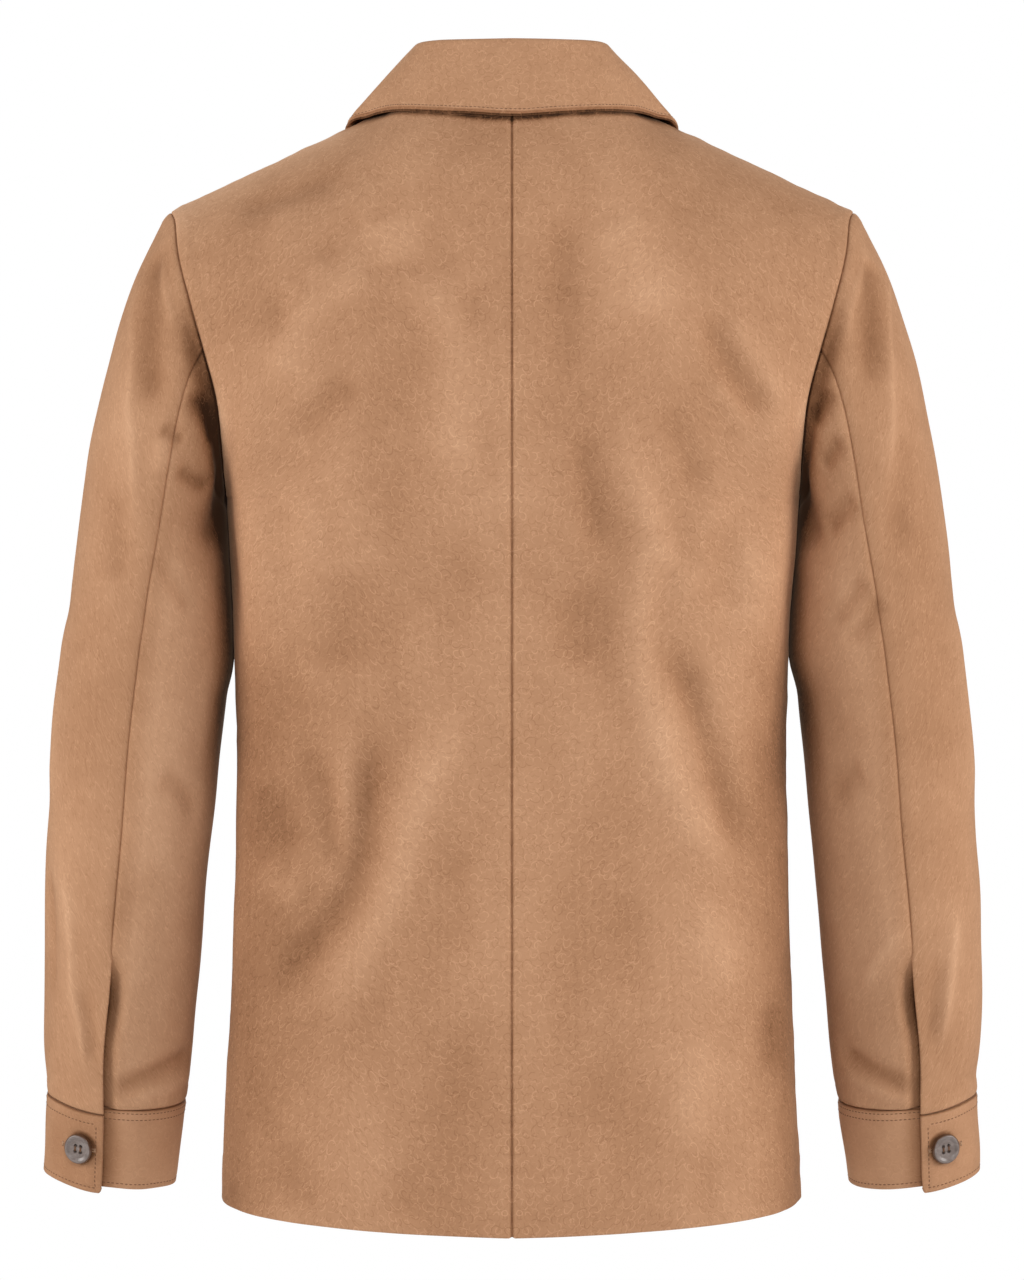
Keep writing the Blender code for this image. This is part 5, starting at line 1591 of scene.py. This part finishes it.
def fallSurface():
    # a roll over the stand's top edge, then straight lines, slightly bowed, to the free edge
    half = drawn(84, 0.75, 0.0)
    turns = collar["end"] * np.concatenate([1 - half, -(1 - half)[:-1][::-1]])
    start = standTop(necklineAt(turns), turns)
    away = unit(start * np.array([1.0, 1.0, 0.0]))
    up = np.array([0.0, 0.0, 1.0])
    start = start - cut["cloth"] * away + collar["seat"] * up
    edge = collarEdgeAt(turns)
    bend = np.radians(np.linspace(0, collar["rollTurn"], 12))[:, None, None]
    roll = start + collar["roll"] * ((1 - np.cos(bend)) * away + np.sin(bend) * up)
    parts = drawn(56, 0.0, 0.85)[1:, None, None]
    swell = collar["swell"] * unit(away + collar["swellRise"] * up)
    flight = roll[-1] + (edge - roll[-1]) * parts + np.sin(math.pi * parts) * swell
    points = np.concatenate([roll, flight])
    normals = gridNormals(points, -1)
    normals[0] = -away
    toEdge, toLeft, toRight = (edgeDistance(points, name) for name in ("bottom", "left", "right"))
    everywhere, atEdge = (high * ripple(points, size, seed)
                          for high, size, seed in (collar["swells"], collar["edgeSwells"]))
    relief = everywhere * ease(edgeDistance(points, "top") / collar["swellsFrom"])
    relief += atEdge * hill(toEdge, collar["edgeSwellsTo"]) * ease(toEdge / 2)
    for far in (toEdge, toLeft, toRight):
        relief += stitchGroove(far, collar["stitch"])
    toFree = np.minimum(toEdge, np.minimum(toLeft, toRight))
    lip = 1 - ease((toFree - collar["lip"]) / 0.5)
    rolled = hill(toFree - collar["lip"] - 1.0, collar["rolledWidth"])
    relief += collar["rolled"] * rolled - collar["step"] * lip
    # painted highlight on the rolled edge, painted shade on the under layer and along the free edge
    nap = collar["rolledHighlight"] * rolled - collar["lipShade"] * lip \
        - collar["edgeShade"] * (1 - ease(toFree / collar["edgeWidth"]))
    return {"points": points + relief[..., None] * normals, "normals": normals,
            "nap": nap, "thickness": cut["doubled"] - collar["step"] * lip}


def makeCollar():
    relief = edgeRelief(stand["points"], {"top": "seam"})
    standPoints = stand["points"] + relief[..., None] * stand["normals"]
    free = ("left", "right", "bottom")
    band = wall("collarStand", standPoints, stand["normals"], cut["cloth"], free,
                collarSuede)
    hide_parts("collar_stand")
    surface = fallSurface()
    fall = wall("collarFall", surface["points"], surface["normals"], surface["thickness"],
                free, collarSuede, nap=surface["nap"])
    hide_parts("collar_fall")
    distance, ends = collar["stitch"], collar["stitchEnds"]
    lines = [lineBeside(surface, edge, distance, (start, distance))
             for edge, start in (("bottom", distance), ("left", ends), ("right", ends))]
    stitches = makeStitches("collarStitches", lines)
    return band, standPoints, fall, surface, stitches


collarBand, collarBandPoints, collarFall, fallGrid, collarStitches = makeCollar()
print("collar")

# ---- buttons and buttonholes

button = {
    # radius and height from the middle outwards: dished centre, round rim, flat back
    "profile": [(0.0, 2.35), (5.4, 2.35), (6.4, 2.5), (7.3, 3.0), (8.0, 3.4), (8.9, 3.45),
                (9.6, 3.1), (10.0, 2.4), (10.0, 1.2), (9.6, 0.45), (8.6, 0.05)],
    "holeRadius": 1.15, "holeOffset": 2.0, "holeDepth": 2.1, "shift": 2.0,
    "rows": (4.0, 6.83, 9.27, 10.93, 12.32, 13.5),
    "holeLength": 25.0, "holeWidth": 3.4,
    "brownFrom": 9.0,           # radius from which the rim is brown
    "strand": 0.32, "strandHeight": 2.42,       # half the way between strands of one pair
    "neckPlace": (7, 12),       # row and column of the stand's grid
    "sides": 72,
    "holePitch": 0.55, "barPitch": 0.5,         # of the stitches round a buttonhole
}


def buttonGrid():
    # height above the back as a function of radius and angle, with four holes pressed in
    profile = np.array(button["profile"])
    inner = np.concatenate([np.linspace(0.25, 0.9, 4), np.linspace(1.1, 4.4, 22),
                            np.linspace(4.8, 5.4, 2)])
    outer = readBetween(profile[1:], np.linspace(0, len(profile) - 2, 34))[1:]
    around = np.linspace(0, 2 * math.pi, button["sides"], endpoint=False)
    radii = np.concatenate([inner, outer[:, 0]])
    heights = np.concatenate([np.full(len(inner), profile[0, 1]), outer[:, 1]])
    x = radii[:, None] * np.cos(around)
    y = radii[:, None] * np.sin(around)
    z = np.repeat(heights[:, None], button["sides"], axis=1)
    far = np.hypot(np.abs(x) - button["holeOffset"], np.abs(y) - button["holeOffset"])
    z -= button["holeDepth"] * (1 - ease((far - button["holeRadius"] + 0.28) / 0.42))
    return np.stack([x, y, z], axis=-1)


def makeButton(name, node, point, normal, upward):
    grid = buttonGrid()
    faces = list(tubeFaces(*grid.shape[:2]))
    grid = grid.reshape(-1, 3)
    side = unit(np.cross(upward, normal))
    turn = np.stack([side, np.cross(normal, side), normal])
    place = point + cut["lapGap"] * normal
    piece = putMesh(name, grid @ turn + place, faces, horn, 60)
    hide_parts(node)
    putValues(piece, "outerEdge", ease((length(grid[:, :2]) - button["brownFrom"]) / 0.5))
    # two strands of thread through each pair of holes, below the rim
    offset, half, high = (button[key] for key in ("holeOffset", "strand", "strandHeight"))
    strands = []
    for across in (-offset - half, -offset + half, offset - half, offset + half):
        ends = np.array([[across, -offset, high], [across, offset, high]]) @ turn + place
        strands.append((ends, np.repeat(normal[None], 2, axis=0)))
    strandThread = makeStitches(f"{name}Thread", strands,
                                2 * offset, 2 * offset + 0.2, 0.3, 0.0)
    return strandThread, side


def buttonholeLines(point, normal, along, surface):
    # close stitches up both sides of the slit and a bar across each end, laid on the cloth
    grid, facing = surface["points"].reshape(-1, 3), surface["normals"].reshape(-1, 3)
    across = np.cross(normal, along)
    point = point + button["shift"] * along
    half, wide = button["holeLength"] / 2, button["holeWidth"] / 2
    sides = [(place, sign * 0.25, sign * wide * 0.62)
             for place in np.arange(-half, half + 0.01, button["holePitch"])
             for sign in (-1, 1)]
    bars = [(end + shift * button["barPitch"], -wide, wide)
            for end in (-half - 0.5, half + 0.5) for shift in (-1, 0, 1)]

    def laid(place, *span):
        ends = np.stack([point + place * along + end * across for end in span])
        near = np.argmin(((grid[None] - ends[:, None]) ** 2).sum(-1), axis=1)
        lift = np.sum((grid[near] - ends) * facing[near], axis=1, keepdims=True)
        return ends + (lift + 0.12) * facing[near], facing[near]

    return [laid(*line) for line in sides], [laid(*line) for line in bars]


def makeButtonhole(name, point, normal, along, surface):
    sides, bars = buttonholeLines(point, normal, along, surface)
    width = button["holeWidth"]
    size = width * 0.62 / 2
    return (makeStitches(f"{name}Edge", sides, size, size + 0.2, 0.2, 0.0, holeThread),
            makeStitches(f"{name}Bars", bars, width - 0.1, width + 0.2, 0.24, 0.0,
                         holeThread))


def makeFastening(place, node, point, normal, upward, surface, slot, along=None):
    # a button, the thread in its holes, and its buttonhole in the cloth of that surface
    strandThread, side = makeButton(f"button{place}", node, point, normal, upward)
    along = side if along is None else along
    return [strandThread, *makeButtonhole(f"hole{place}", point, normal, along, surface)]


def makeFrontButtons():
    made = []
    up = np.array([0.0, 0.0, 1.0])
    for number, row in enumerate(button["rows"], start=1):
        made += makeFastening(f"Front{number}", f"button_front_{number}",
                              *spotOn("front", row, 0.0), up, panels["front", "left"][1], "suede")
    band = {"points": collarBandPoints, "normals": stand["normals"]}
    place = button["neckPlace"]
    return made, makeFastening("Neck", "button_neck", stand["points"][place],
                               stand["normals"][place], up, band, "suede_trim")


def makeCuffButton(hand):
    point, normal, upward, away = cuffButtonPlace(hand)
    return makeFastening(f"Cuff{hand.capitalize()}", f"button_cuff_{hand}", point, normal,
                         upward, cuffs[hand][1], "suede_trim", away)


frontThreads, neckThreads = makeFrontButtons()
cuffThreads = {hand: makeCuffButton(hand) for hand in hands}
frontLine = makeStitches(
    "frontStitches", [lineBeside(panels["front", "left"][1], "left", frontStitch, (4, 6))])
print("buttons and stitching")

# ---- end

print("all pieces made")
